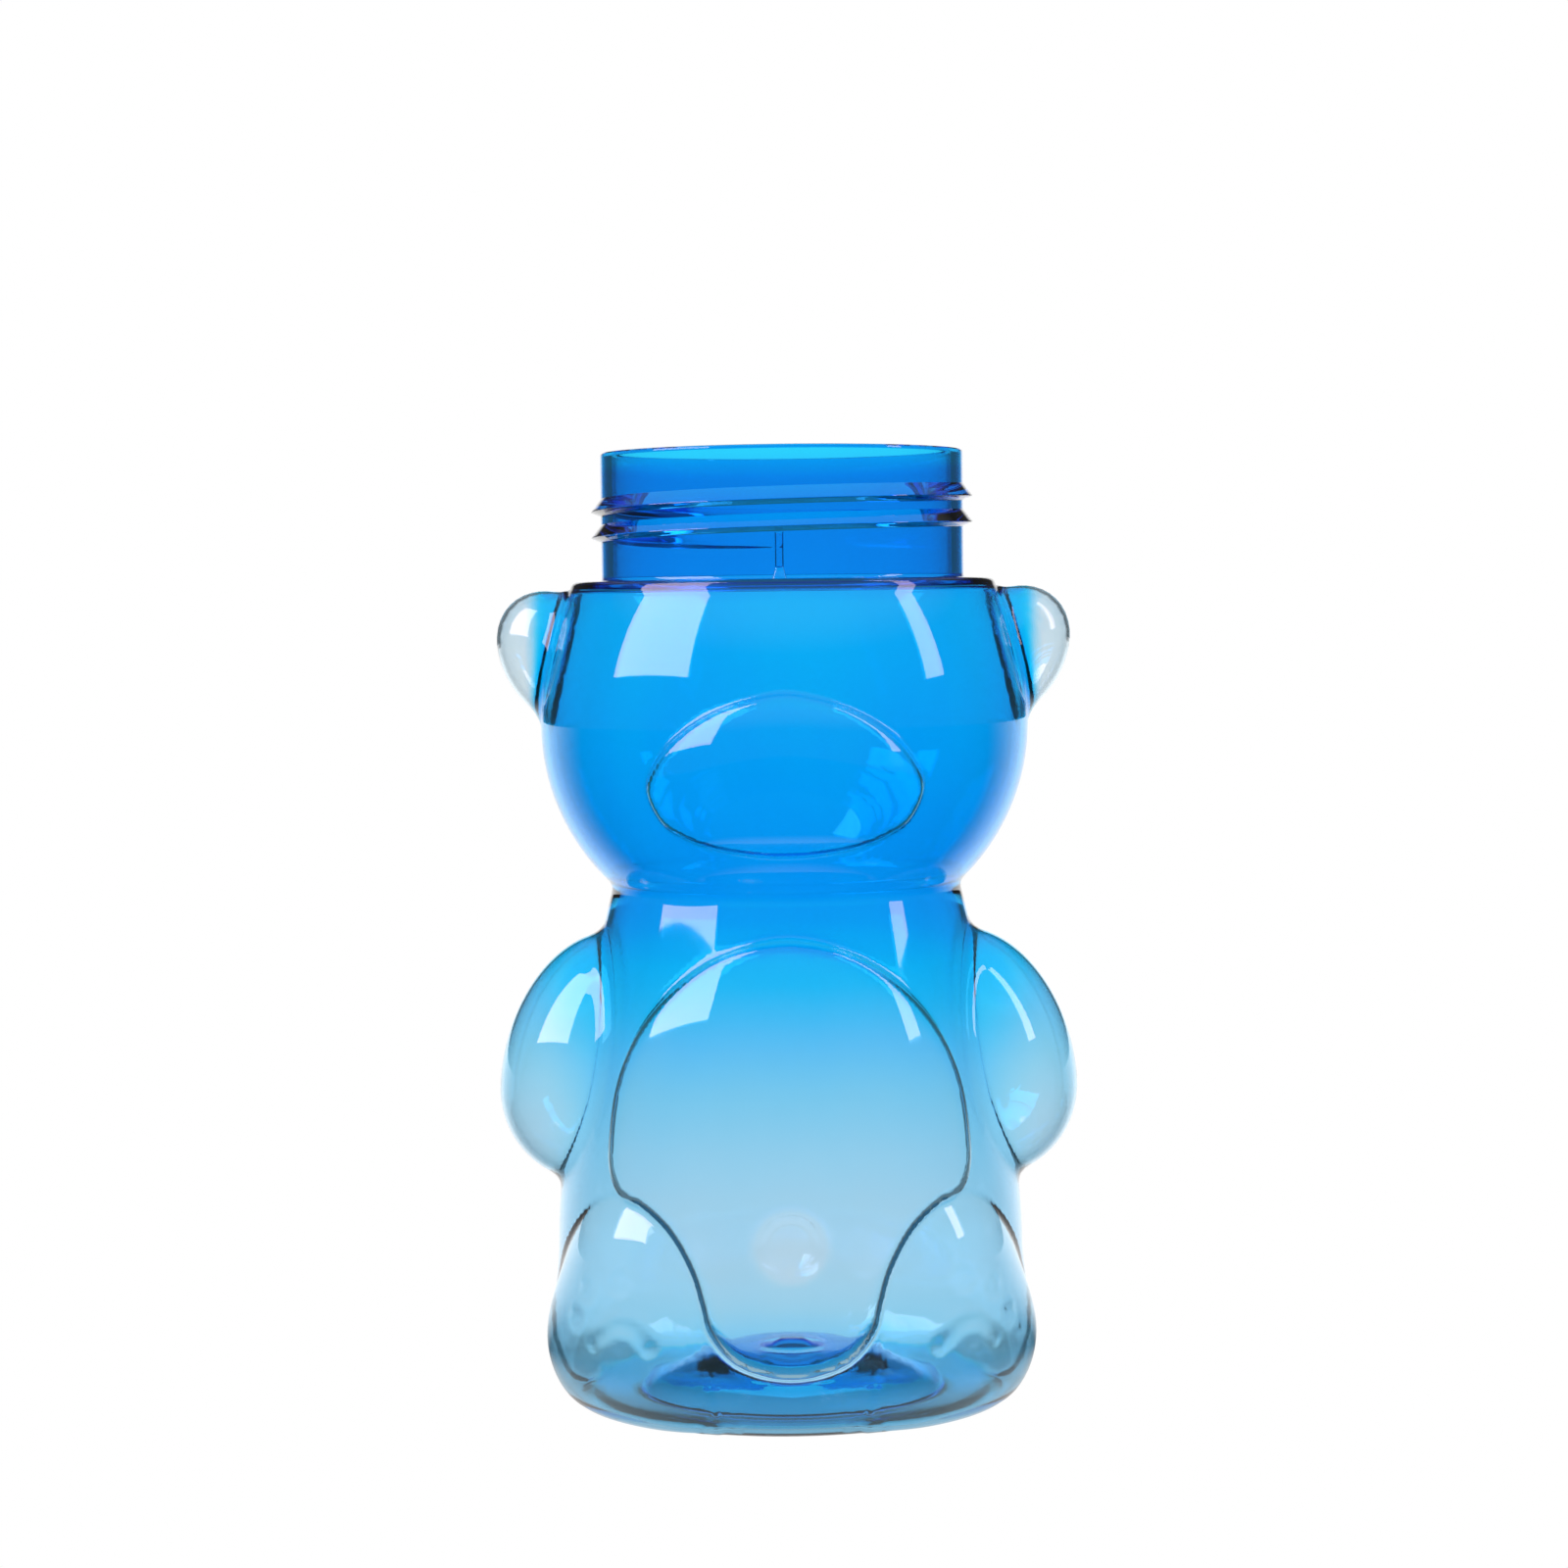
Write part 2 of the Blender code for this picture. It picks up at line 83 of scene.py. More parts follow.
def arc(centre: Pair, radius: float, start: float, end: float, step: float) -> Path:
    """Sample a circular arc.

    Args:
        centre: Radius and height of the arc's centre.
        radius: Radius of the arc.
        start: First angle in degrees, from outward towards up.
        end: Last angle in degrees.
        step: Largest step between points, in degrees.

    Returns:
        Points of the arc as radius and height.
    """
    count = max(1, math.ceil(abs(end - start) / step))
    angles = np.radians(np.linspace(start, end, count + 1))
    return [(centre[0] + radius * math.cos(a), centre[1] + radius * math.sin(a)) for a in angles]


def bezier(start: Pair, pull_start: Pair, pull_end: Pair, end: Pair, count: int = 60) -> Path:
    """Sample a cubic curve whose pulls are given from its own ends.

    Args:
        start: First point.
        pull_start: Pull of the curve at its first point.
        pull_end: Pull of the curve at its last point.
        end: Last point.
        count: Number of steps.

    Returns:
        Points of the curve as radius and height.
    """
    first, last = np.array(start), np.array(end)
    second, third = first + np.array(pull_start), last + np.array(pull_end)
    t = np.linspace(0.0, 1.0, count + 1)[:, None]
    points = first * (1 - t) ** 3 + second * 3 * t * (1 - t) ** 2 + third * 3 * t * t * (1 - t) + last * t ** 3
    return [tuple(point) for point in points]


def rounded(corners: list[Triple]) -> Path:
    """Join corners by straight runs with a fillet at each inner corner.

    Args:
        corners: Radius, height and fillet radius of each corner.

    Returns:
        Points of the rounded path.
    """
    path: Path = [corners[0][:2]]
    for before, corner, after in zip(corners, corners[1:], corners[2:]):
        here = np.array(corner[:2])
        back = np.array(before[:2]) - here
        on = np.array(after[:2]) - here
        back, on = back / np.linalg.norm(back), on / np.linalg.norm(on)
        half = math.acos(float(np.clip(back @ on, -1.0, 1.0))) / 2
        reach = corner[2] / math.tan(half)
        middle = here + (back + on) / np.linalg.norm(back + on) * corner[2] / math.sin(half)
        first, last = here + back * reach, here + on * reach
        start = math.degrees(math.atan2(*(first - middle)[::-1]))
        end = math.degrees(math.atan2(*(last - middle)[::-1]))
        end += 360.0 * round((start - end) / 360.0)
        path += arc(tuple(middle), corner[2], start, end, CORNER_STEP)
    return path + [corners[-1][:2]]


def smooth_union(first: np.ndarray, second: np.ndarray, radius: float) -> np.ndarray:
    """Join two distances with a fillet of about the given radius."""
    overlap = np.maximum(radius - np.abs(first - second), 0.0) / radius
    return np.minimum(first, second) - overlap * overlap * radius / 4


def smooth_cut(first: np.ndarray, second: np.ndarray, radius: float) -> np.ndarray:
    """Keep what lies in both shapes, with a rounded edge of about the given radius."""
    return -smooth_union(-first, -second, radius)


def ease(value: np.ndarray, low: float, high: float) -> np.ndarray:
    """Run from 0 at low to 1 at high along an S curve."""
    t = np.clip((value - low) / (high - low), 0.0, 1.0)
    return t * t * (3.0 - 2.0 * t)


def radii(points: np.ndarray) -> np.ndarray:
    """Give the distance of points from the axis."""
    return np.hypot(points[:, 0], points[:, 1])


def round_wall(points: np.ndarray) -> np.ndarray:
    """Give the distance of points round the wall from the front."""
    return radii(points) * np.arctan2(points[:, 0], -points[:, 1])


def units(vectors: np.ndarray) -> np.ndarray:
    """Bring rows of vectors to a length of 1."""
    return vectors / np.linalg.norm(vectors, axis=1)[:, None]


def between(line: np.ndarray, stations: np.ndarray, stops: np.ndarray) -> np.ndarray:
    """Read the rows of a line at stops between its stations."""
    return np.stack([np.interp(stops, stations, column) for column in line.T], axis=1)


def coordinates(mesh: bpy.types.Mesh) -> np.ndarray:
    """Read a mesh's vertices.

    Args:
        mesh: Mesh to read.

    Returns:
        Rows of x, y and z.
    """
    flat = np.empty(len(mesh.vertices) * 3)
    mesh.vertices.foreach_get("co", flat)
    return flat.reshape(-1, 3)


def face_outwards(form: bmesh.types.BMesh) -> None:
    """Turn the faces of a closed edit mesh outwards."""
    if form.calc_volume(signed=True) < 0.0:
        bmesh.ops.reverse_faces(form, faces=form.faces)


def spun_path(path: Path | np.ndarray, closed: bool, steps: int, angle: float,
              climb: float) -> bmesh.types.BMesh:
    """Spin a path round the axis.

    Args:
        path: Radius and height of its points. The layer "number" of the result counts them from 0.
        closed: Whether the last point joins the first.
        steps: Number of steps round the axis.
        angle: Angle that the steps cover.
        climb: Rise of each step. Where it is 0, the last column is merged with the first.

    Returns:
        The edit mesh.
    """
    form = bmesh.new()
    number_layer = form.verts.layers.float.new("number")
    ring = [form.verts.new((radius, 0.0, height)) for radius, height in path]
    for number, vertex in enumerate(ring):
        vertex[number_layer] = number
    pairs = list(zip(ring, ring[1:])) + [(ring[-1], ring[0])] * closed
    edges = [form.edges.new(pair) for pair in pairs]
    bmesh.ops.spin(form, geom=ring + edges, cent=(0.0, 0.0, 0.0), axis=(0.0, 0.0, 1.0), dvec=(0.0, 0.0, climb),
                   angle=angle, steps=steps, use_merge=climb == 0.0, use_normal_flip=False, use_duplicate=False)
    return form


def object_from(name: str, form: bmesh.types.BMesh) -> bpy.types.Object:
    """Make an object in the scene from an edit mesh and free the edit mesh.

    Args:
        name: Name of the object and its mesh.
        form: Edit mesh to take over.

    Returns:
        The new object, at the origin.
    """
    mesh = bpy.data.meshes.new(name)
    form.to_mesh(mesh)
    form.free()
    body = bpy.data.objects.new(name, mesh)
    bpy.context.scene.collection.objects.link(body)
    return body


# Shape of the bottle


@dataclass(frozen=True)
class Neck:
    """Wide-mouth neck: plain cylinder with a flat rim."""

    radius: float = 29.75 * MM
    wall: float = 1.9 * MM
    length: float = 21.0 * MM
    foot_fillet: float = 0.5 * MM
    rim_round: float = 0.45 * MM
    bore_round: float = 0.4 * MM
    throat_round: float = 0.7 * MM

    @property
    def bore(self) -> float:
        """Radius of the mouth."""
        return self.radius - self.wall


@dataclass(frozen=True)
class Head:
    """Turned head, from the shoulder down to the waist. Its turns and steps are in degrees."""

    shoulder_height: float = 134.1 * MM
    shoulder_radius: float = 34.9 * MM
    shoulder_corner: float = 1.1 * MM
    shoulder_turn: Pair = (20.0, 90.0)
    shoulder_set_in: float = 0.3 * MM
    shoulder_thickness: float = 1.4 * MM
    widest_radius: float = 40.05 * MM
    widest_height: float = 110.5 * MM
    lower_arc: float = 35.45 * MM
    upper_step: float = 0.5
    lower_step: float = 1.0


@dataclass(frozen=True)
class Torso:
    """Turned torso, heel and base under the waist.

    A pull is how far a curve's handle lies from its end. The ring's lip and the dome's foot are a distance from
    the ring's inner edge and a height. The gate's shape gives shares of its radius and rise.
    """

    waist_radius: float = 28.8 * MM
    waist_fillet: float = 2.2 * MM
    waist_step: float = 4.0
    waist_pull: Pair = (2.3 * MM, -9.6 * MM)
    hip_radius: float = 38.4 * MM
    hip_height: float = 26.0 * MM
    hip_upper_pull: Pair = (-0.4 * MM, 20.0 * MM)
    hip_lower_pull: Pair = (0.0, -6.0 * MM)
    heel_radius: float = 39.5 * MM
    heel_height: float = 11.5 * MM
    heel_pull: Pair = (0.0, 5.5 * MM)
    heel_round: float = 5.5 * MM
    heel_steps: int = 30
    ring_width: float = 10.0 * MM
    ring_lip: Pair = (0.6 * MM, 0.12 * MM)
    ring_shares: Triple = (0.25, 0.5, 0.75)
    ring_thickness: float = 0.9 * MM
    dome_height: float = 4.9 * MM
    dome_pull: Pair = (8.0 * MM, 0.0)
    dome_foot: Pair = (0.6 * MM, 0.45 * MM)
    dome_foot_pull: Pair = (-8.0 * MM, 3.7 * MM)
    dome_steps: int = 40
    dome_even: float = 12.0 * MM
    dome_thickness: float = 2.4 * MM
    foot_thickness: float = 1.3 * MM
    gate_radius: float = 3.6 * MM
    gate_rise: float = 0.9 * MM
    gate_shape: tuple[Pair, ...] = ((0.0, 1.0), (0.55, 1.0), (0.8, 0.5))

    @property
    def ring_outer(self) -> float:
        """Outer radius of the ring that the bottle stands on."""
        return self.heel_radius - self.heel_round

    @property
    def ring_inner(self) -> float:
        """Inner radius of the ring that the bottle stands on."""
        return self.ring_outer - self.ring_width


@dataclass(frozen=True)
class Egg:
    """Egg-shaped form pressed out of the wall, with its own reach above and below its centre.

    Its lean is its shift towards +X for each metre of height, and its fan is the distance from the axis of the
    point that the wall is pressed away from.
    """

    centre: Triple
    half_width: float
    half_depth: float
    above: float
    below: float
    lean: float
    fillet: float
    wall: float
    fan: float

    def fan_centre(self) -> np.ndarray:
        """Give the point that the wall is pressed away from, on the line from the axis to the form."""
        flat = np.array([self.centre[0], self.centre[1], 0.0])
        return flat / np.linalg.norm(flat) * self.fan + np.array([0.0, 0.0, self.centre[2]])

    def sizes(self, points: np.ndarray, wall: float) -> np.ndarray:
        """Give the form's half sizes at the height of points.

        Args:
            points: Rows of x, y and z.
            wall: How far the form is shrunk.

        Returns:
            Rows of half width, half depth and reach.
        """
        reach = np.where(points[:, 2] - self.centre[2] > 0.0, self.above - wall, self.below - wall)
        width, depth = (np.full(len(points), size - wall) for size in (self.half_width, self.half_depth))
        return np.stack([width, depth, reach], axis=1)

    def local(self, points: np.ndarray, wall: float) -> np.ndarray:
        """Scale points so that the form is a unit ball.

        Args:
            points: Rows of x, y and z.
            wall: How far the form is shrunk.

        Returns:
            Rows of x, y and z over the form's half sizes.
        """
        height = points[:, 2] - self.centre[2]
        across = points[:, 0] - self.centre[0] - self.lean * height
        return np.stack([across, points[:, 1] - self.centre[1], height], axis=1) / self.sizes(points, wall)

    def distance(self, points: np.ndarray, wall: float) -> np.ndarray:
        """Measure how far points lie outside the form.

        Args:
            points: Rows of x, y and z.
            wall: How far the form is shrunk.

        Returns:
            Distance of each point, negative inside.
        """
        scaled = self.local(points, wall)
        level = np.linalg.norm(scaled, axis=1)
        slope = np.linalg.norm(scaled / self.sizes(points, wall), axis=1)
        return level * (level - 1.0) / np.maximum(slope, 1.0)


class DistanceMap:
    """Signed distance from a line in a plane, looked up on a grid. It is negative inside.

    The line is measured in batches of its runs. The least square keeps a run of no length from dividing by 0. A
    place outside the grid is moved in, to the border's number of cells before its end.
    """

    cell: float = 0.4 * MM
    batch: int = 40
    least_square: float = 1e-14
    border: float = 1.001

    def __init__(self, line: np.ndarray, low: np.ndarray, high: np.ndarray) -> None:
        """Measure the distances.

        Args:
            line: Rows of the line's two coordinates. What lies inside meets it an odd number of times towards the
                rising first coordinate.
            low: Lowest coordinates of the grid.
            high: Highest coordinates of the grid.
        """
        self.low = low
        counts = np.ceil((high - low) / self.cell).astype(int) + 1
        steps = [start + self.cell * np.arange(count) for start, count in zip(low, counts)]
        grid = np.stack(np.meshgrid(*steps, indexing="ij"), axis=-1).reshape(-1, 1, 2)
        starts, runs = line[:-1], np.diff(line, axis=0)
        nearest = np.full(len(grid), np.inf)
        meetings = np.zeros(len(grid), dtype=int)
        for begin in range(0, len(runs), self.batch):
            part = slice(begin, begin + self.batch)
            foot, run = starts[part][None], runs[part][None]
            away = grid - foot
            share = (away * run).sum(axis=2) / np.maximum((run * run).sum(axis=2), self.least_square)
            gap = away - np.clip(share, 0.0, 1.0)[..., None] * run
            nearest = np.minimum(nearest, np.sqrt((gap * gap).sum(axis=2)).min(axis=1))
            passed = (away[..., 1] < 0.0) != (away[..., 1] < run[..., 1])
            climb = np.where(run[..., 1] == 0.0, 1.0, run[..., 1])
            meetings += (passed & (away[..., 0] < away[..., 1] / climb * run[..., 0])).sum(axis=1)
        self.values = np.where(meetings % 2 == 1, -nearest, nearest).reshape(counts)

    def at(self, first: np.ndarray, second: np.ndarray) -> np.ndarray:
        """Look the distance up.

        Args:
            first: First coordinate of each place.
            second: Second coordinate of each place.

        Returns:
            Distance at each place. Outside the grid it is that of the grid's edge.
        """
        place = (np.stack([first, second], axis=1) - self.low) / self.cell
        place = np.clip(place, 0.0, np.array(self.values.shape) - self.border)
        cell = place.astype(int)
        column, row = cell.T
        across, up = (place - cell).T
        lower = self.values[column, row] * (1 - across) + self.values[column + 1, row] * across
        upper = self.values[column, row + 1] * (1 - across) + self.values[column + 1, row + 1] * across
        return lower * (1 - up) + upper * up


@dataclass(frozen=True)
class Panel:
    """Raised pillow on the wall, inside a smooth outline drawn on the unrolled wall.

    The knots give the outline in millimetres, as the distance round the wall from the front and the height. The
    pillow rises by the edge share of its rise at the outline and by all of it one swell further in, and it fades
    out between two heights.
    """

    knots: Path
    rise: float
    edge_share: float
    swell: float
    edge_round: float
    fillet: float
    wall: float
    fade: Pair = (-2.0 * MM, -1.0 * MM)
    margin: float = 8.0 * MM
    samples: int = 8

    @classmethod
    def mirrored(cls, half: Path, **sizes: float) -> "Panel":
        """Make a panel that is the same left and right from the knots of one half, top to bottom."""
        return cls(half + [(-across, height) for across, height in half[-2:0:-1]], **sizes)

    @cached_property
    def outline(self) -> np.ndarray:
        """Smooth closed line through the knots.

        Returns:
            Rows of distance round the wall and height. The last is the first again.
        """
        knots = np.array(self.knots) * MM
        first, second, third, fourth = (np.roll(knots, shift, axis=0)[:, None, :] for shift in (1, 0, -1, -2))
        t = np.linspace(0.0, 1.0, self.samples, endpoint=False)[None, :, None]
        line = 0.5 * (2 * second + (third - first) * t + (2 * first - 5 * second + 4 * third - fourth) * t ** 2
                      + (3 * second - first - 3 * third + fourth) * t ** 3)
        line = line.reshape(-1, 2)
        return np.concatenate([line, line[:1]])

    @cached_property
    def distances(self) -> DistanceMap:
        """Distances from the outline."""
        low, high = self.outline.min(axis=0), self.outline.max(axis=0)
        return DistanceMap(self.outline, low - self.margin, high + self.margin)

    def inside(self, across: np.ndarray, height: np.ndarray) -> np.ndarray:
        """Measure how far points on the unrolled wall lie inside the outline."""
        return -self.distances.at(across, height)

    def crown(self, across: np.ndarray, height: np.ndarray) -> np.ndarray:
        """Give the height of the pillow over the wall.

        Args:
            across: Distance of each point round the wall from the front.
            height: Height of each point.

        Returns:
            How far the pillow stands out at each point.
        """
        left = 1.0 - np.clip(self.inside(across, height) / self.swell, 0.0, 1.0)
        full = self.rise * (self.edge_share + (1.0 - self.edge_share) * (1.0 - left * left))
        return full * ease(height, *self.fade)


@dataclass(frozen=True)
class PawMarks:
    """Toe and sole pads that stand slightly proud of a foot. The sole's pad bends through its middle point."""

    toes: tuple[Triple, ...]
    sole: tuple[Triple, Triple, Triple]
    toe_radius: float = 2.0 * MM
    sole_radius: float = 1.3 * MM
    sole_samples: int = 15
    proud: float = 0.25 * MM
    edge: float = 0.9 * MM

    def nearest(self, points: np.ndarray) -> np.ndarray:
        """Measure how far points lie from the nearest pad.

        Args:
            points: Rows of x, y and z.

        Returns:
            Distance of each point, negative inside a pad.
        """
        pads = [(np.array(toe), self.toe_radius) for toe in self.toes]
        start, middle, end = (np.array(point) for point in self.sole)
        pull = 2 * middle - (start + end) / 2
        for share in np.linspace(0.0, 1.0, self.sole_samples):
            on_arc = start * (1 - share) ** 2 + pull * 2 * share * (1 - share) + end * share ** 2
            pads.append((on_arc, self.sole_radius))
        return np.min([np.linalg.norm(points - centre, axis=1) - radius for centre, radius in pads], axis=0)

    def lift(self, points: np.ndarray) -> np.ndarray:
        """Give the height of the pads at points on the foot."""
        return self.proud * (1.0 - ease(self.nearest(points), -self.edge, self.edge))


@dataclass(frozen=True)
class Spacing:
    """Distances between vertices along the profile, and how the columns are spread round the axis.

    Each entry of the side is a height and the distance that holds up to it. The spans are azimuths in degrees
    from the front, over which one weight gives way to the next. The bands lie along creases and pads. Points of
    the profile closer than the shortest distance are one, and longer runs are split.
    """

    base: float = 1.5 * MM
    heel: float = 1.1 * MM
    side: tuple[Pair, ...] = ((79.0 * MM, 1.45 * MM), (88.0 * MM, 0.5 * MM), (118.0 * MM, 1.5 * MM),
                              (math.inf, 1.4 * MM))
    corner: float = 0.26 * MM
    corner_band: float = 1.3 * MM
    ring_share: float = 1.5
    ring_band: float = 1.2 * MM
    neck: float = 1.6 * MM
    inner: float = 1.9 * MM
    shortest: float = 0.004 * MM
    longest: float = 0.6 * MM
    slope_reach: float = 0.15 * MM
    slack: float = 1e-9
    pole_merge: float = 0.001 * MM
    columns: int = 150
    azimuth_samples: int = 721
    front_span: Pair = (50.0, 62.0)
    back_span: Pair = (117.0, 133.0)
    front_weight: float = 1.0
    side_weight: float = 0.8
    back_weight: float = 0.45
    crease_band: float = 1.8 * MM
    fine_band: float = 0.9 * MM
    pad_band: float = 1.5 * MM


@dataclass(frozen=True)
class Pressing:
    """How the limbs and panels are pressed out of the spun wall, and where the wall is held.

    The ring's margin and span start from the ring that the bottle stands on, and the shoulder's from the shoulder.
    """

    highest: float = 20.0 * MM
    halvings: int = 26
    panel_margin: float = 6.0 * MM
    egg_margin: float = 4.0 * MM
    fan_span: Pair = (1.5 * MM, 6.0 * MM)
    ring_margin: float = 4.0 * MM
    ring_span: Pair = (-4.0 * MM, 1.5 * MM)
    heel_overlap: float = 2.0 * MM
    shoulder_overlap: float = 5.0 * MM
    shoulder_margin: float = 2.0 * MM
    shoulder_span: float = 0.9 * MM
    map_low: Pair = (18.0 * MM, -3.0 * MM)
    map_high: Pair = (66.0 * MM, 136.0 * MM)


@dataclass
class BottleShell:
    """Blown shell of the bottle, outside and inside in one closed surface.

    Over the heights of the thinning span its wall goes from that of the hips to that of the body.
    """

    neck: Neck = field(default_factory=Neck)
    head: Head = field(default_factory=Head)
    torso: Torso = field(default_factory=Torso)
    spacing: Spacing = field(default_factory=Spacing)
    pressing: Pressing = field(default_factory=Pressing)
    body_wall: float = 1.1 * MM
    hip_wall: float = 0.75 * MM
    limb_wall: float = 0.45 * MM
    ear_wall: float = 0.35 * MM
    thinning: Pair = (15.0 * MM, 80.0 * MM)

    @cached_property
    def eggs(self) -> dict[str, Egg]:
        """Ears, arms and tail by name.

        Returns:
            The forms, whose names start with what they are.
        """
        forms: dict[str, Egg] = {}
        for side in Side:
            sign = side.value
            forms[f"ear_{side.name}"] = Egg(
                centre=(sign * 36.8 * MM, 0.0, 122.2 * MM), half_width=10.1 * MM, half_depth=7.6 * MM,
                above=10.6 * MM, below=11.9 * MM, lean=sign * 0.237, fillet=2.6 * MM, wall=self.ear_wall,
                fan=30.0 * MM)
            forms[f"arm_{side.name}"] = Egg(
                centre=(sign * 30.7 * MM, 0.0, 52.2 * MM), half_width=17.0 * MM, half_depth=17.0 * MM,
                above=24.4 * MM, below=17.1 * MM, lean=sign * -0.087, fillet=2.2 * MM, wall=self.limb_wall,
                fan=16.0 * MM)
        forms["tail"] = Egg(
            centre=(0.0, 35.6 * MM, 16.5 * MM), half_width=7.0 * MM, half_depth=7.4 * MM, above=7.0 * MM,
            below=7.0 * MM, lean=0.0, fillet=1.4 * MM, wall=self.limb_wall, fan=28.0 * MM)
        return forms

    @cached_property
    def belly(self) -> Panel:
        """Belly that narrows to a tongue between the feet."""
        half = [(0.0, 77.3), (9.8, 75.1), (18.0, 70.1), (25.4, 62.7), (30.0, 54.2), (31.6, 45.3), (31.1, 40.0),
                (28.6, 36.6), (24.0, 35.1), (19.3, 31.6), (15.9, 26.2), (14.3, 21.0), (12.9, 16.5), (8.1, 11.9),
                (0.0, 10.1)]
        return Panel.mirrored(half, rise=2.9 * MM, edge_share=0.66, swell=11.0 * MM, edge_round=1.7 * MM,
                              fillet=1.1 * MM, wall=self.hip_wall)

    @cached_property
    def panels(self) -> tuple[Panel, ...]:
        """Muzzle, feet and belly.

        Returns:
            The panels, in the order in which they are pressed.
        """
        snout = [(0.0, 116.4), (5.5, 115.5), (11.0, 113.6), (16.0, 110.7), (20.0, 107.1), (22.6, 102.0),
                 (20.2, 96.7), (16.0, 94.1), (11.0, 92.4), (5.5, 91.5), (0.0, 91.2)]
        muzzle = Panel.mirrored(snout, rise=3.8 * MM, edge_share=0.3, swell=12.0 * MM, edge_round=1.3 * MM,
                                fillet=0.7 * MM, wall=self.hip_wall)
        foot = [(30.7, 36.4), (36.7, 34.4), (41.6, 31.0), (46.8, 26.5), (51.4, 22.0), (55.0, 17.0), (57.0, 11.0),
                (57.5, 3.0), (54.0, -7.0), (40.0, -10.0), (20.0, -8.0), (11.5, 0.0), (12.8, 8.0), (14.7, 15.0),
                (15.4, 21.0), (17.0, 27.0), (20.2, 31.8), (24.8, 35.4)]
        feet = [Panel([(side.value * across, height) for across, height in foot], rise=3.3 * MM, edge_share=0.0,
                      swell=14.0 * MM, edge_round=0.6 * MM, fillet=0.5 * MM, wall=self.limb_wall,
                      fade=(-6.0 * MM, 15.0 * MM)) for side in Side]
        return muzzle, *feet, self.belly

    @cached_property
    def paws(self) -> tuple[PawMarks, PawMarks]:
        """Pads on the right and the left foot.

        Returns:
            The right foot's pads and the left foot's.
        """
        right = PawMarks(toes=((-0.0316, -0.0261, 0.0219), (-0.0267, -0.0310, 0.0239), (-0.0334, -0.0245, 0.0171)),
                         sole=((-0.0306, -0.0284, 0.0138), (-0.0258, -0.0323, 0.0172), (-0.0224, -0.0351, 0.0144)))
        left = PawMarks(toes=((0.0267, -0.0310, 0.0239), (0.0313, -0.0265, 0.0217), (0.0337, -0.0240, 0.0169)),
                        sole=((0.0229, -0.0348, 0.0142), (0.0276, -0.0308, 0.0172), (0.0313, -0.0276, 0.0139)))
        return right, left

    def side_profile(self, wall: float) -> Path:
        """Run up the side from the heel's widest point to the foot of the shoulder's corner.

        Args:
            wall: How far inside the outer surface the run lies.

        Returns:
            Points of radius and height, from the bottom up.
        """
        head, torso = self.head, self.torso
        rise = head.shoulder_height - head.shoulder_corner - head.widest_height
        swell = head.widest_radius - head.shoulder_radius
        upper_arc = (rise ** 2 + swell ** 2) / (2 * swell)
        upper_end = math.degrees(math.asin(rise / upper_arc))
        upper_centre = (head.widest_radius - upper_arc, head.widest_height)
        upper = arc(upper_centre, upper_arc - wall, 0.0, upper_end, head.upper_step)
        lower_centre = (head.widest_radius - head.lower_arc, head.widest_height)
        fillet_radius = torso.waist_radius + torso.waist_fillet
        reach = head.lower_arc + torso.waist_fillet
        meeting = math.acos((fillet_radius - lower_centre[0]) / reach)
        fillet_centre = (fillet_radius, lower_centre[1] - reach * math.sin(meeting))
        meeting = math.degrees(meeting)
        lower = arc(lower_centre, head.lower_arc - wall, -meeting, 0.0, head.lower_step)
        turn = math.degrees(math.atan2(torso.waist_pull[0], -torso.waist_pull[1]))
        waist = arc(fillet_centre, torso.waist_fillet + wall, 180.0 + turn, 180.0 - meeting, torso.waist_step)
        hip = (torso.hip_radius - wall, torso.hip_height)
        body = bezier(hip, torso.hip_upper_pull, torso.waist_pull, waist[0])
        heel_top = (torso.heel_radius - wall, torso.heel_height)
        heel = bezier(heel_top, torso.heel_pull, torso.hip_lower_pull, hip, torso.heel_steps)
        return heel + body[1:] + waist[1:] + lower[1:] + upper[1:]

    def inner_side(self) -> Path:
        """Run up the inside of the side, where the wall thins towards the hips.

        Returns:
            Points of radius and height, from the bottom up.
        """
        thick, thin = (np.array(self.side_profile(wall)) for wall in (self.body_wall, self.hip_wall))
        shares = ease(thick[:, 1], *self.thinning)
        return [tuple(point) for point in thin + (thick - thin) * shares[:, None]]

    def base_profile(self, inner: bool) -> Path:
        """Run from the middle of the pushed-up base, over the standing ring, to the heel's widest point.

        Args:
            inner: Whether the run lies on the base's inside.

        Returns:
            Points of radius and height, from the axis outwards.
        """
        torso = self.torso
        gate = [(torso.gate_radius * out, torso.dome_height + torso.gate_rise * up) for out, up in torso.gate_shape]
        dome_foot = (torso.ring_inner - torso.dome_foot[0], torso.dome_foot[1])
        dome = bezier((torso.gate_radius, torso.dome_height), torso.dome_pull, torso.dome_foot_pull, dome_foot,
                      torso.dome_steps)
        ring = [(torso.ring_inner, torso.ring_lip[1]), (torso.ring_inner + torso.ring_lip[0], 0.0)]
        ring += [(torso.ring_inner + torso.ring_width * share, 0.0) for share in torso.ring_shares]
        run = np.array(gate + dome + ring)
        wall = self.hip_wall if inner else 0.0
        floor = torso.ring_thickness if inner else 0.0
        if inner:
            run[:, 1] += np.interp(run[:, 0], (torso.dome_even, torso.ring_inner, torso.ring_outer),
                                   (torso.dome_thickness, torso.foot_thickness, torso.ring_thickness))
        angles = np.radians(np.linspace(-90.0, 0.0, torso.heel_steps + 1))
        heel = [(torso.ring_outer + (torso.heel_round - wall) * math.cos(angle),
                 torso.heel_height + (torso.heel_height - floor) * math.sin(angle)) for angle in angles]
        return [tuple(point) for point in run] + heel

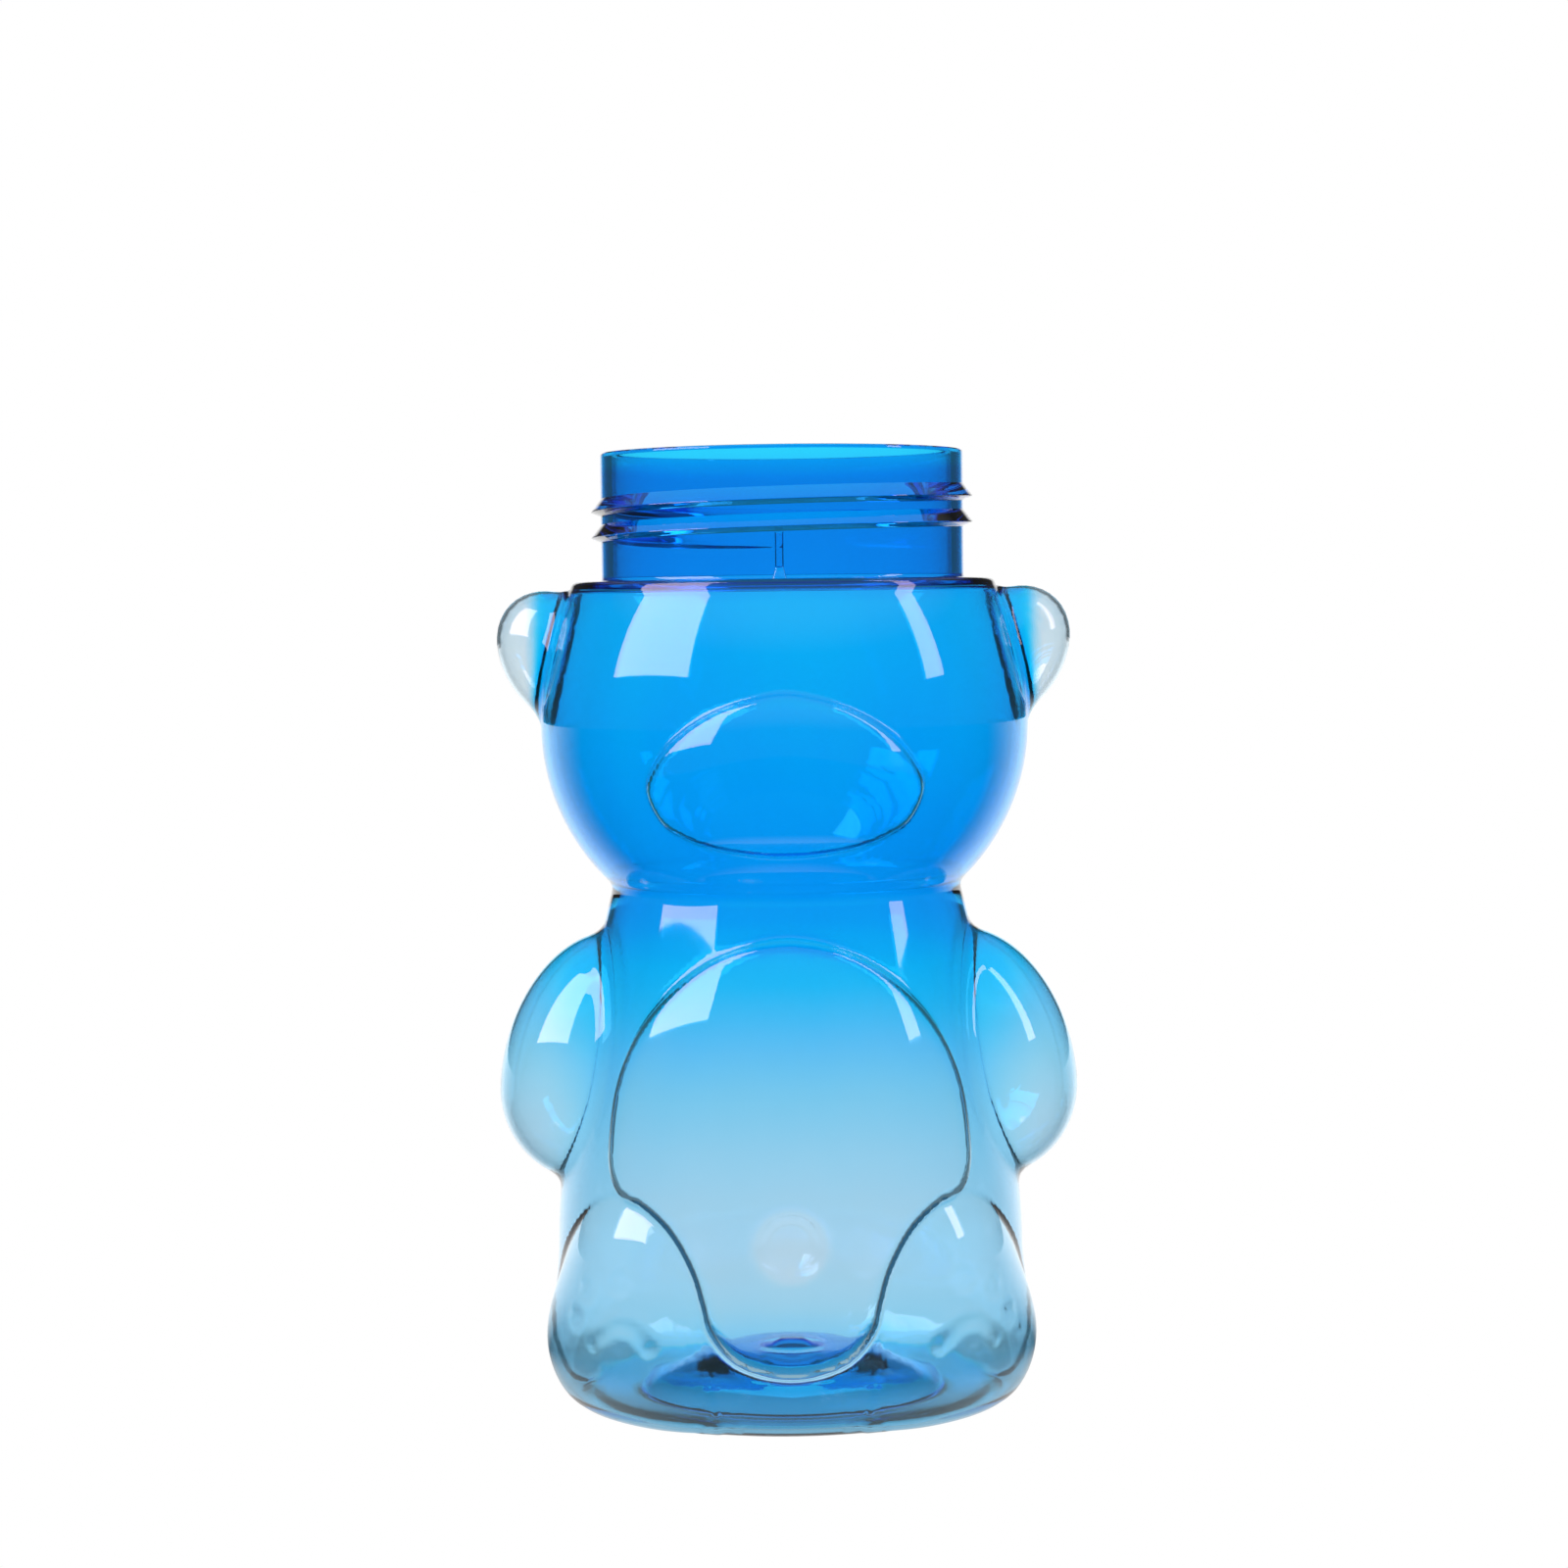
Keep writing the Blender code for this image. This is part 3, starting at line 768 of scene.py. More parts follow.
    def profile(self) -> list[tuple[Path, Zone]]:
        """Lay out the whole profile, from the axis under the base round to the axis over it.

        Returns:
            The profile's stretches with their zones.
        """
        neck, head = self.neck, self.head
        rim = head.shoulder_height + neck.length
        ceiling = head.shoulder_height - head.shoulder_thickness
        corner_centre = (head.shoulder_radius - head.shoulder_corner, head.shoulder_height - head.shoulder_corner)
        corner = arc(corner_centre, head.shoulder_corner, *head.shoulder_turn, CORNER_STEP)
        inner_side = [point for point in self.inner_side() if point[1] < ceiling - head.shoulder_corner]
        top = inner_side[-1]
        neck_path = rounded([(corner[-1][0], corner[-1][1], 0.0),
                             (neck.radius, head.shoulder_height, neck.foot_fillet),
                             (neck.radius, rim, neck.rim_round),
                             (neck.bore, rim, neck.bore_round),
                             (neck.bore, ceiling, neck.throat_round),
                             (top[0] - head.shoulder_set_in, ceiling, head.shoulder_corner),
                             (top[0], top[1], 0.0)])
        return [(self.base_profile(False), Zone.BASE),
                (self.side_profile(0.0), Zone.SIDE),
                (corner + neck_path, Zone.NECK),
                (inner_side[::-1], Zone.INNER_SIDE),
                (self.base_profile(True)[::-1], Zone.INNER_BASE)]

    def wanted_spacing(self, radius: float, height: float, zone: Zone) -> float:
        """Choose the distance between rows at a place on the profile.

        Args:
            radius: Distance of the place from the axis.
            height: Height of the place.
            zone: Stretch of the profile that the place is in.

        Returns:
            The wanted distance.
        """
        spacing, foot = self.spacing, self.head.shoulder_height
        if zone is Zone.BASE:
            if radius > self.torso.ring_outer:
                return spacing.heel
            at_ring = abs(radius - self.torso.ring_inner) < spacing.ring_band
            return spacing.corner * spacing.ring_share if at_ring else spacing.base
        if zone is Zone.SIDE:
            return next(distance for top, distance in spacing.side if height < top)
        if zone is Zone.NECK:
            near_rim = height > foot + self.neck.length - spacing.corner_band
            return spacing.corner if near_rim or height < foot + spacing.corner_band else spacing.neck
        return spacing.inner

    def rows(self) -> tuple[np.ndarray, np.ndarray, np.ndarray]:
        """Space out the rows of vertices along the profile.

        Returns:
            Radius and height of each row, its outward direction, and its zone's number.
        """
        spacing = self.spacing
        points: Path = []
        zones: list[int] = []
        for path, zone in self.profile():
            for point in path:
                last = points[-1] if points else point
                gap = math.dist(point, last)
                if points and gap < spacing.shortest:
                    continue
                parts = max(1, math.ceil(gap / spacing.longest))
                points += [tuple(a + (b - a) * part / parts for a, b in zip(last, point))
                           for part in range(1, parts + 1)]
                zones += [zone.value] * parts
        line = np.array(points)
        steps = np.linalg.norm(np.diff(line, axis=0), axis=1)
        wanted = np.array([self.wanted_spacing(r, z, Zone(number)) for (r, z), number in zip(line, zones)])
        progress = np.concatenate([[0.0], np.cumsum(steps / ((wanted[:-1] + wanted[1:]) / 2))])
        length = np.concatenate([[0.0], np.cumsum(steps)])
        count = int(round(progress[-1]))
        stops = np.interp(np.linspace(0.0, progress[-1], count + 1), progress, length)
        place = between(line, length, stops)
        along = units(between(line, length, stops + spacing.slope_reach)
                      - between(line, length, stops - spacing.slope_reach))
        outward = np.stack([along[:, 1], -along[:, 0]], axis=1)
        number = np.array(zones)[np.clip(np.searchsorted(length, stops - spacing.slack), 0, len(zones) - 1)]
        place[0, 0] = place[-1, 0] = 0.0
        return place, outward, number

    def azimuths(self) -> np.ndarray:
        """Spread the columns round the axis, closest together on the front.

        Returns:
            Azimuth of each column in radians, 0 at the front, rising towards +X.
        """
        spacing = self.spacing
        fine = np.linspace(0.0, 180.0, spacing.azimuth_samples)
        weight = (spacing.side_weight
                  + (spacing.front_weight - spacing.side_weight) * (1.0 - ease(fine, *spacing.front_span))
                  - (spacing.side_weight - spacing.back_weight) * ease(fine, *spacing.back_span))
        progress = np.concatenate([[0.0], np.cumsum((weight[1:] + weight[:-1]) / 2)])
        half = np.interp(np.linspace(0.0, progress[-1], spacing.columns // 2 + 1), progress, fine)
        return np.radians(np.concatenate([half, -half[-2:0:-1]]))

    def spun(self) -> tuple[bmesh.types.BMesh, np.ndarray, np.ndarray]:
        """Spin the profile round the axis, with its columns closest together on the front.

        Returns:
            The closed edit mesh with its row numbers in a layer, the rows' outward directions, and their zones.
        """
        place, outward, zone = self.rows()
        columns = self.spacing.columns
        form = spun_path(place, False, columns, math.tau, 0.0)
        azimuths = self.azimuths()
        for vertex in form.verts:
            turn = math.atan2(vertex.co.y, vertex.co.x) / math.tau
            azimuth = azimuths[int(round(turn * columns)) % columns]
            radius = math.hypot(vertex.co.x, vertex.co.y)
            vertex.co.x, vertex.co.y = radius * math.sin(azimuth), -radius * math.cos(azimuth)
        row_layer = form.verts.layers.float["number"]
        poles = [vertex for vertex in form.verts if vertex[row_layer] in (0.0, float(len(place) - 1))]
        bmesh.ops.remove_doubles(form, verts=poles, dist=self.spacing.pole_merge)
        face_outwards(form)
        return form, outward, zone

    @staticmethod
    def read(form: bmesh.types.BMesh) -> tuple[np.ndarray, np.ndarray]:
        """Read the vertices of the spun wall.

        Args:
            form: Spun edit mesh, with its rows numbered.

        Returns:
            Rows of x, y and z, and each vertex's row number.
        """
        row_layer = form.verts.layers.float["number"]
        points = np.array([vertex.co[:] for vertex in form.verts])
        return points, np.array([vertex[row_layer] for vertex in form.verts])

    def fineness(self, points: np.ndarray, inner: np.ndarray) -> np.ndarray:
        """Choose how often the mesh is split at points on the spun wall.

        Args:
            points: Rows of x, y and z.
            inner: Whether each point is on the wall's inside.

        Returns:
            Number of times, 0 to 2.
        """
        spacing, pressing = self.spacing, self.pressing
        times = np.zeros(len(points), dtype=int)
        radius, across, height = radii(points), round_wall(points), points[:, 2]
        for panel in self.panels:
            edge = np.abs(panel.inside(across, height))
            above = height > panel.fade[0]
            times = np.maximum(times, (edge < spacing.crease_band) & above)
            times = np.maximum(times, 2 * ((edge < spacing.fine_band) & above & ~inner))
        for egg in self.eggs.values():
            near = egg.distance(points, 0.0)
            times = np.maximum(times, near < spacing.crease_band)
            times = np.maximum(times, 2 * ((np.abs(near) < spacing.fine_band) & ~inner))
        for marks in self.paws:
            times[(marks.nearest(points) < marks.edge + spacing.pad_band) & ~inner] = 1
        return times * ((radius > self.torso.ring_inner + pressing.ring_margin)
                        & (height < self.head.shoulder_height - pressing.shoulder_margin))

    def refine(self, form: bmesh.types.BMesh, zone: np.ndarray) -> None:
        """Split the faces of the spun wall where the limbs, the panels and the pads have their edges.

        Args:
            form: Spun edit mesh, with its rows numbered.
            zone: Zone number of each row.
        """
        for turn in (1, 2):
            form.verts.index_update()
            points, rows = self.read(form)
            times = self.fineness(points, zone[np.round(rows).astype(int)] >= Zone.INNER_SIDE.value)
            faces = [face for face in form.faces if max(times[vertex.index] for vertex in face.verts) >= turn]
            edges = list(dict.fromkeys(edge for face in faces for edge in face.edges))
            bmesh.ops.subdivide_edges(form, edges=edges, cuts=1, use_grid_fill=True)
        bmesh.ops.triangulate(form, faces=[face for face in form.faces if len(face.verts) > 4])

    def press(self, form: bmesh.types.BMesh, outward: np.ndarray, zone: np.ndarray) -> None:
        """Press the limbs and panels out of the spun wall.

        Args:
            form: Spun edit mesh, with its rows numbered.
            outward: Outward direction of each row.
            zone: Zone number of each row.
        """
        points, rows = self.read(form)
        azimuth, across = np.arctan2(points[:, 0], -points[:, 1]), round_wall(points)
        tilt = between(outward, np.arange(len(outward)), rows)
        direction = np.stack([np.sin(azimuth) * tilt[:, 0], -np.cos(azimuth) * tilt[:, 0], tilt[:, 1]], axis=1)
        zones = zone[np.round(rows).astype(int)]
        free = radii(points) > self.torso.ring_inner + self.pressing.ring_margin
        for inner, meant in ((False, (Zone.BASE, Zone.SIDE)), (True, (Zone.INNER_SIDE, Zone.INNER_BASE))):
            chosen = np.isin(zones, [stretch.value for stretch in meant]) & free
            push = -direction[chosen] if inner else direction[chosen]
            points[chosen] = self.pressed(points[chosen], push, across[chosen], inner)
        points[:, 2] = np.maximum(points[:, 2], 0.0)
        for vertex, place in zip(form.verts, points):
            vertex.co = place

    def side_distance(self, inner: bool) -> DistanceMap:
        """Measure distances from the spun wall, from the heel to over the shoulder.

        Args:
            inner: Whether the wall's inside is meant.

        Returns:
            The distances, over radius and height.
        """
        pressing, heel = self.pressing, self.torso.ring_outer - self.pressing.heel_overlap
        side = [point for point in self.base_profile(inner) if point[0] > heel]
        side += (self.inner_side() if inner else self.side_profile(0.0))[1:]
        side.append((side[-1][0], side[-1][1] + pressing.shoulder_overlap))
        return DistanceMap(np.array(side), np.array(pressing.map_low), np.array(pressing.map_high))

    def pressed(self, base: np.ndarray, push: np.ndarray, across: np.ndarray, inner: bool) -> np.ndarray:
        """Find where points of the spun wall end up on the finished one.

        Args:
            base: Rows of x, y and z on the spun wall.
            push: Outward direction at each of them.
            across: Distance round the wall from the front.
            inner: Whether the wall's inside is meant.

        Returns:
            Rows of x, y and z on the finished wall.
        """
        pressing, height = self.pressing, base[:, 2]
        panels, eggs = [], []
        for panel in self.panels:
            wall = panel.wall if inner else 0.0
            inside = panel.inside(across, height)
            near = np.flatnonzero(inside > -pressing.panel_margin)
            panels.append((panel, near, wall, wall - inside[near], panel.crown(across[near], height[near])))
        for egg in self.eggs.values():
            wall = egg.wall if inner else 0.0
            gap = egg.distance(base, wall)
            eggs.append((egg, np.flatnonzero(gap < egg.fillet + wall + pressing.egg_margin), wall))
            fanned = units(base - egg.fan_centre())
            push = units(push + (fanned - push) * (1.0 - ease(gap, *pressing.fan_span))[:, None])
        distance = self.side_distance(inner)
        level = distance.at(radii(base), height)
        low, high = np.zeros(len(base)), np.full(len(base), pressing.highest)
        for _ in range(pressing.halvings):
            middle = (low + high) / 2
            points = base + push * middle[:, None]
            lift = distance.at(radii(points), points[:, 2]) - level
            gap = lift.copy()
            for panel, near, wall, edge, crown in panels:
                body = smooth_cut(edge, lift[near] - crown, panel.edge_round)
                gap[near] = smooth_union(gap[near], body, panel.fillet + wall)
            for egg, near, wall in eggs:
                gap[near] = smooth_union(gap[near], egg.distance(points[near], wall), egg.fillet + wall)
            low, high = np.where(gap > 0.0, low, middle), np.where(gap > 0.0, middle, high)
        top = self.head.shoulder_height - self.head.shoulder_corner - (self.head.shoulder_thickness if inner else 0.0)
        start, end = (self.torso.ring_outer + reach for reach in pressing.ring_span)
        hold = np.where(height > self.torso.heel_height, 1.0, ease(radii(base), start, end))
        hold = hold * (1.0 - ease(height, top - pressing.shoulder_span, top))
        places = base + push * ((low + high) / 2 * hold)[:, None]
        for marks in self.paws:
            places += push * marks.lift(places)[:, None]
        return places

    def build(self) -> bpy.types.Object:
        """Spin and press the shell.

        Returns:
            The shell without its thread and rib.
        """
        form, outward, zone = self.spun()
        self.refine(form, zone)
        self.press(form, outward, zone)
        return object_from("bottle_shell", form)


@dataclass
class NeckThread:
    """Single right-hand screw thread round the neck, with both ends at the back.

    Its cross-sections stand in step with the columns of the shell, so that both meet along clean lines. The
    section and the sink of its ends are in millimetres, outward from the neck and upward from the thread's middle.
    The ends fade over the fade turns.
    """

    neck: Neck
    azimuths: np.ndarray
    start_height: float = 140.0 * MM
    start_column: int = 72
    pitch: float = 4.233 * MM
    turns: float = 2.05
    fade_turns: Pair = (-0.004, 0.1)
    end_sink: float = 0.25
    section: tuple[Pair, ...] = ((-0.7, 2.75), (0.0, 2.1), (0.12, 1.95), (0.3, 1.7), (1.2, 0.55), (1.42, 0.29),
                                 (1.54, 0.14), (1.56, 0.03), (1.5, -0.06), (1.3, -0.16), (0.3, -0.5),
                                 (0.12, -0.6), (0.0, -0.72), (-0.7, -1.2))

    def build(self) -> bpy.types.Object:
        """Sweep the ridge up the neck and sink its ends into the wall.

        Returns:
            The closed ridge.
        """
        columns = len(self.azimuths)
        steps = int(round(self.turns * columns))
        path = [(self.neck.radius + out * MM, self.start_height + up * MM) for out, up in self.section]
        form = spun_path(path, True, steps, math.tau * steps / columns, self.pitch / columns)
        bmesh.ops.holes_fill(form, edges=[edge for edge in form.edges if edge.is_boundary], sides=0)
        bmesh.ops.triangulate(form, faces=[face for face in form.faces if len(face.verts) > 4])
        corner_layer = form.verts.layers.float["number"]
        start = self.azimuths[self.start_column] % math.tau
        for vertex in form.verts:
            out, up = self.section[int(vertex[corner_layer])]
            step = int(round((vertex.co.z - self.start_height - up * MM) * columns / self.pitch))
            column = self.start_column + step
            azimuth = self.azimuths[column % columns] % math.tau + math.tau * (column // columns)
            from_end = min(step, steps - step) / columns
            sunk = 1.0 - float(ease(np.array(from_end), *self.fade_turns))
            radius = self.neck.radius + out * MM - sunk * (max(out, 0.0) + self.end_sink) * MM
            height = self.start_height + up * MM + self.pitch * (azimuth - start) / math.tau
            vertex.co = Vector((radius * math.sin(azimuth), -radius * math.cos(azimuth), height))
        bmesh.ops.recalc_face_normals(form, faces=form.faces)
        face_outwards(form)
        return object_from("neck_thread", form)


@dataclass
class LocatingRib:
    """Narrow upright rib on the front of the neck, with a flared foot on the shoulder."""

    neck: Neck
    foot_height: float = 133.3 * MM
    top_height: float = 141.4 * MM
    width: float = 1.3 * MM
    proud: float = 0.55 * MM
    sink: float = 0.9 * MM
    offset: float = -0.5 * MM
    flare: float = 0.45 * MM
    flare_span: Pair = (133.9 * MM, 136.0 * MM)
    flare_cuts: int = 14
    edge: float = 0.3 * MM
    edge_segments: int = 4

    def build(self) -> bpy.types.Object:
        """Shape a bar with rounded edges and a flared foot.

        Returns:
            The closed rib.
        """
        form = bmesh.new()
        bmesh.ops.create_cube(form, size=1.0)
        depth = self.proud + self.sink
        length = self.top_height - self.foot_height
        bmesh.ops.scale(form, vec=(self.width, depth, length), verts=form.verts)
        bmesh.ops.translate(form, vec=(self.offset, depth / 2 - self.neck.radius - self.proud,
                                       self.foot_height + length / 2), verts=form.verts)
        front = [edge for edge in form.edges if all(v.co.y < -self.neck.radius for v in edge.verts)]
        bmesh.ops.bevel(form, geom=front, offset=self.edge, offset_type='OFFSET', segments=self.edge_segments,
                        profile=0.5, affect='EDGES', material=-1, clamp_overlap=True)
        upright = [edge for edge in form.edges if abs(edge.verts[0].co.z - edge.verts[1].co.z) > length / 2]
        bmesh.ops.subdivide_edges(form, edges=upright, cuts=self.flare_cuts, use_grid_fill=True)
        for vertex in form.verts:
            foot = 1.0 - float(ease(np.array(vertex.co.z), *self.flare_span))
            vertex.co.x += math.copysign(self.flare * foot, vertex.co.x - self.offset)
            if vertex.co.y < -self.neck.radius:
                vertex.co.y -= self.flare * foot
        face_outwards(form)
        return object_from("locating_rib", form)


# Finishes


class NodeTree:
    """Node tree of a finish or of the studio's surroundings, built up node by node."""

    def __init__(self, owner: bpy.types.Material | bpy.types.World) -> None:
        """Switch the owner's nodes on and take its tree."""
        owner.use_nodes = True
        self.tree = owner.node_tree

    def feed(self, node: bpy.types.Node, inputs: dict[str | int, object]) -> None:
        """Set a node's inputs.

        Args:
            node: Node to feed.
            inputs: Value, or output of another node, for each input by its name or number.
        """
        for key, value in inputs.items():
            if isinstance(value, bpy.types.NodeSocket):
                self.tree.links.new(value, node.inputs[key])
            else:
                node.inputs[key].default_value = value

    def add(self, kind: str, inputs: dict[str | int, object], output: str | int,
            **settings: object) -> bpy.types.NodeSocket:
        """Add a node.

        Args:
            kind: Type of the node, without its leading ShaderNode.
            inputs: What its inputs get.
            output: Name or number of the output to give back.
            **settings: Other settings of the node.

        Returns:
            The output.
        """
        node = self.tree.nodes.new(f"ShaderNode{kind}")
        for name, value in settings.items():
            setattr(node, name, value)
        self.feed(node, inputs)
        return node.outputs[output]

    def math(self, operation: str, first: object, second: object) -> bpy.types.NodeSocket:
        """Work out one number from two."""
        return self.add("Math", {0: first, 1: second}, "Value", operation=operation)

    def noise(self, place: bpy.types.NodeSocket, scale: float, detail: float) -> bpy.types.NodeSocket:
        """Add a noise over a place."""
        return self.add("TexNoise", {"Vector": place, "Scale": scale, "Detail": detail}, "Fac")

    def span(self, value: bpy.types.NodeSocket, span: Pair, levels: tuple[object, object],
             kind: str = 'SMOOTHSTEP') -> bpy.types.NodeSocket:
        """Lead a value over from one level to another.

        Args:
            value: Value that is mapped.
            span: Values at which the first level ends and the second starts.
            levels: Level before the span and after it.
            kind: How the levels run into each other.

        Returns:
            The level.
        """
        ends = {"From Min": span[0], "From Max": span[1], "To Min": levels[0], "To Max": levels[1]}
        return self.add("MapRange", {"Value": value, **ends}, "Result", interpolation_type=kind)

    def ray(self, kind: str) -> bpy.types.NodeSocket:
        """Tell whether a ray is of a kind."""
        return self.add("LightPath", {}, kind)

    def seen(self, level: bpy.types.NodeSocket, direct: float) -> bpy.types.NodeSocket:
        """Give one level to all rays but those straight from the camera."""
        return self.add("Mix", {0: self.ray("Is Camera Ray"), 2: level, 3: direct}, 0, data_type='FLOAT')


@dataclass(frozen=True)
class ClearBluePlastic:
    """Transparent copolyester, deep blue where it is thick and pale where it is stretched thin.

    The stretch attribute on the shell picks the tint: 0 for the head, 1 for the ears. Streaks along the height
    sway the stretch, and a fine noise varies the gloss. Each noise is a scale and a detail.
    """

    name: str = "clear_blue_plastic"
    tints: tuple[tuple[float, Triple], ...] = (
        (0.0, (0.05, 0.555, 0.93)), (0.06, (0.04, 0.605, 0.978)), (0.14, (0.035, 0.735, 0.992)),
        (0.25, (0.13, 0.77, 0.992)), (0.45, (0.41, 0.795, 0.982)), (0.6, (0.56, 0.84, 0.952)),
        (0.75, (0.70, 0.868, 0.944)), (0.88, (0.81, 0.875, 0.922)), (1.0, (0.93, 0.94, 0.93)))
    refraction: float = 1.56
    absorption: Triple = (0.0, 0.64, 0.94)
    density: float = 250.0
    flow: Triple = (1.0, 1.0, 0.22)
    streaks: Pair = (60.0, 3.0)
    sway: float = 0.035
    polish: Pair = (140.0, 5.0)
    polish_span: Pair = (0.35, 0.75)
    roughness: Pair = (0.012, 0.045)
    ripple: Pair = (55.0, 1.5)
    ripple_strength: float = 0.35
    ripple_height: float = 0.03 * MM

    def material(self) -> bpy.types.Material:
        """Build the node tree.

        Returns:
            The finish.
        """
        finish = bpy.data.materials.new(self.name)
        tree = NodeTree(finish)
        place = tree.add("TexCoord", {}, "Object")
        flow = tree.add("Mapping", {"Vector": place, "Scale": self.flow}, "Vector")
        stretch = tree.add("Attribute", {}, "Fac", attribute_name="stretch")
        sway = tree.span(tree.noise(flow, *self.streaks), (0.0, 1.0), (-self.sway, self.sway), 'LINEAR')
        tint = tree.add("ValToRGB", {"Fac": tree.math('ADD', stretch, sway)}, "Color")
        ramp = tint.node.color_ramp
        ramp.interpolation = 'LINEAR'
        while len(ramp.elements) < len(self.tints):
            ramp.elements.new(0.5)
        for element, (position, colour) in zip(ramp.elements, self.tints):
            element.position = position
            element.color = (*colour, 1.0)
        gloss = tree.span(tree.noise(place, *self.polish), self.polish_span, self.roughness, 'LINEAR')
        bump = tree.add("Bump", {"Strength": self.ripple_strength, "Distance": self.ripple_height,
                                 "Height": tree.noise(flow, *self.ripple)}, "Normal")
        depth = tree.add("VolumeAbsorption", {"Color": (*self.absorption, 1.0), "Density": self.density}, "Volume")
        tree.feed(finish.node_tree.nodes["Principled BSDF"], {
            "Metallic": 0.0, "IOR": self.refraction, "Transmission Weight": 1.0, "Base Color": tint,
            "Roughness": gloss, "Normal": bump})
        tree.feed(finish.node_tree.nodes["Material Output"], {"Volume": depth})
        return finish


@dataclass(frozen=True)
class WhiteTable:
    """Table top whose white is painted emission: a painted glow in a wedge behind the bottle and a painted pool of
    light in a disc under it.

    The camera sees it evenly white. The bottle sees it painted dark towards the camera, as in a bright-field studio,
    and through its plastic it sees a faint painted glow at the sides.
    """

    name: str = "white_table"
    roughness: float = 0.9
    glow: float = 1.12
    seen_glow: float = 1.0
    side_glow: float = 0.28
    wedge: Pair = (0.3, 0.87)
    under_glow: float = 0.65
    under: Pair = (0.042, 0.060)

    def material(self) -> bpy.types.Material:
        """Build the node tree.

        Returns:
            The finish.
        """
        finish = bpy.data.materials.new(self.name)
        tree = NodeTree(finish)
        place = tree.add("TexCoord", {}, "Object")
        turn = tree.add("VectorMath", {0: place}, "Vector", operation='NORMALIZE')
        # Painted light: the wedge behind the bottle, the disc under it and the sides seen through the plastic glow by
        # emission, not by any lamp.
        wedge = tree.span(tree.add("SeparateXYZ", {"Vector": turn}, "Y"), self.wedge, (0.0, self.glow))
        reach = tree.add("VectorMath", {0: place}, "Value", operation='LENGTH')
        # Painted pool of light in a disc under the bottle, joined to the painted wedge.
        both = tree.math('MAXIMUM', wedge, tree.span(reach, self.under, (self.under_glow, 0.0)))
        sides = tree.math('MULTIPLY', tree.ray("Is Transmission Ray"), self.side_glow)
        tree.feed(finish.node_tree.nodes["Principled BSDF"], {
            "Base Color": BLACK, "Roughness": self.roughness, "Specular IOR Level": 0.0, "Emission Color": WHITE,
            "Emission Strength": tree.seen(tree.math('MAXIMUM', both, sides), self.seen_glow)})
        return finish


# Sub-assemblies


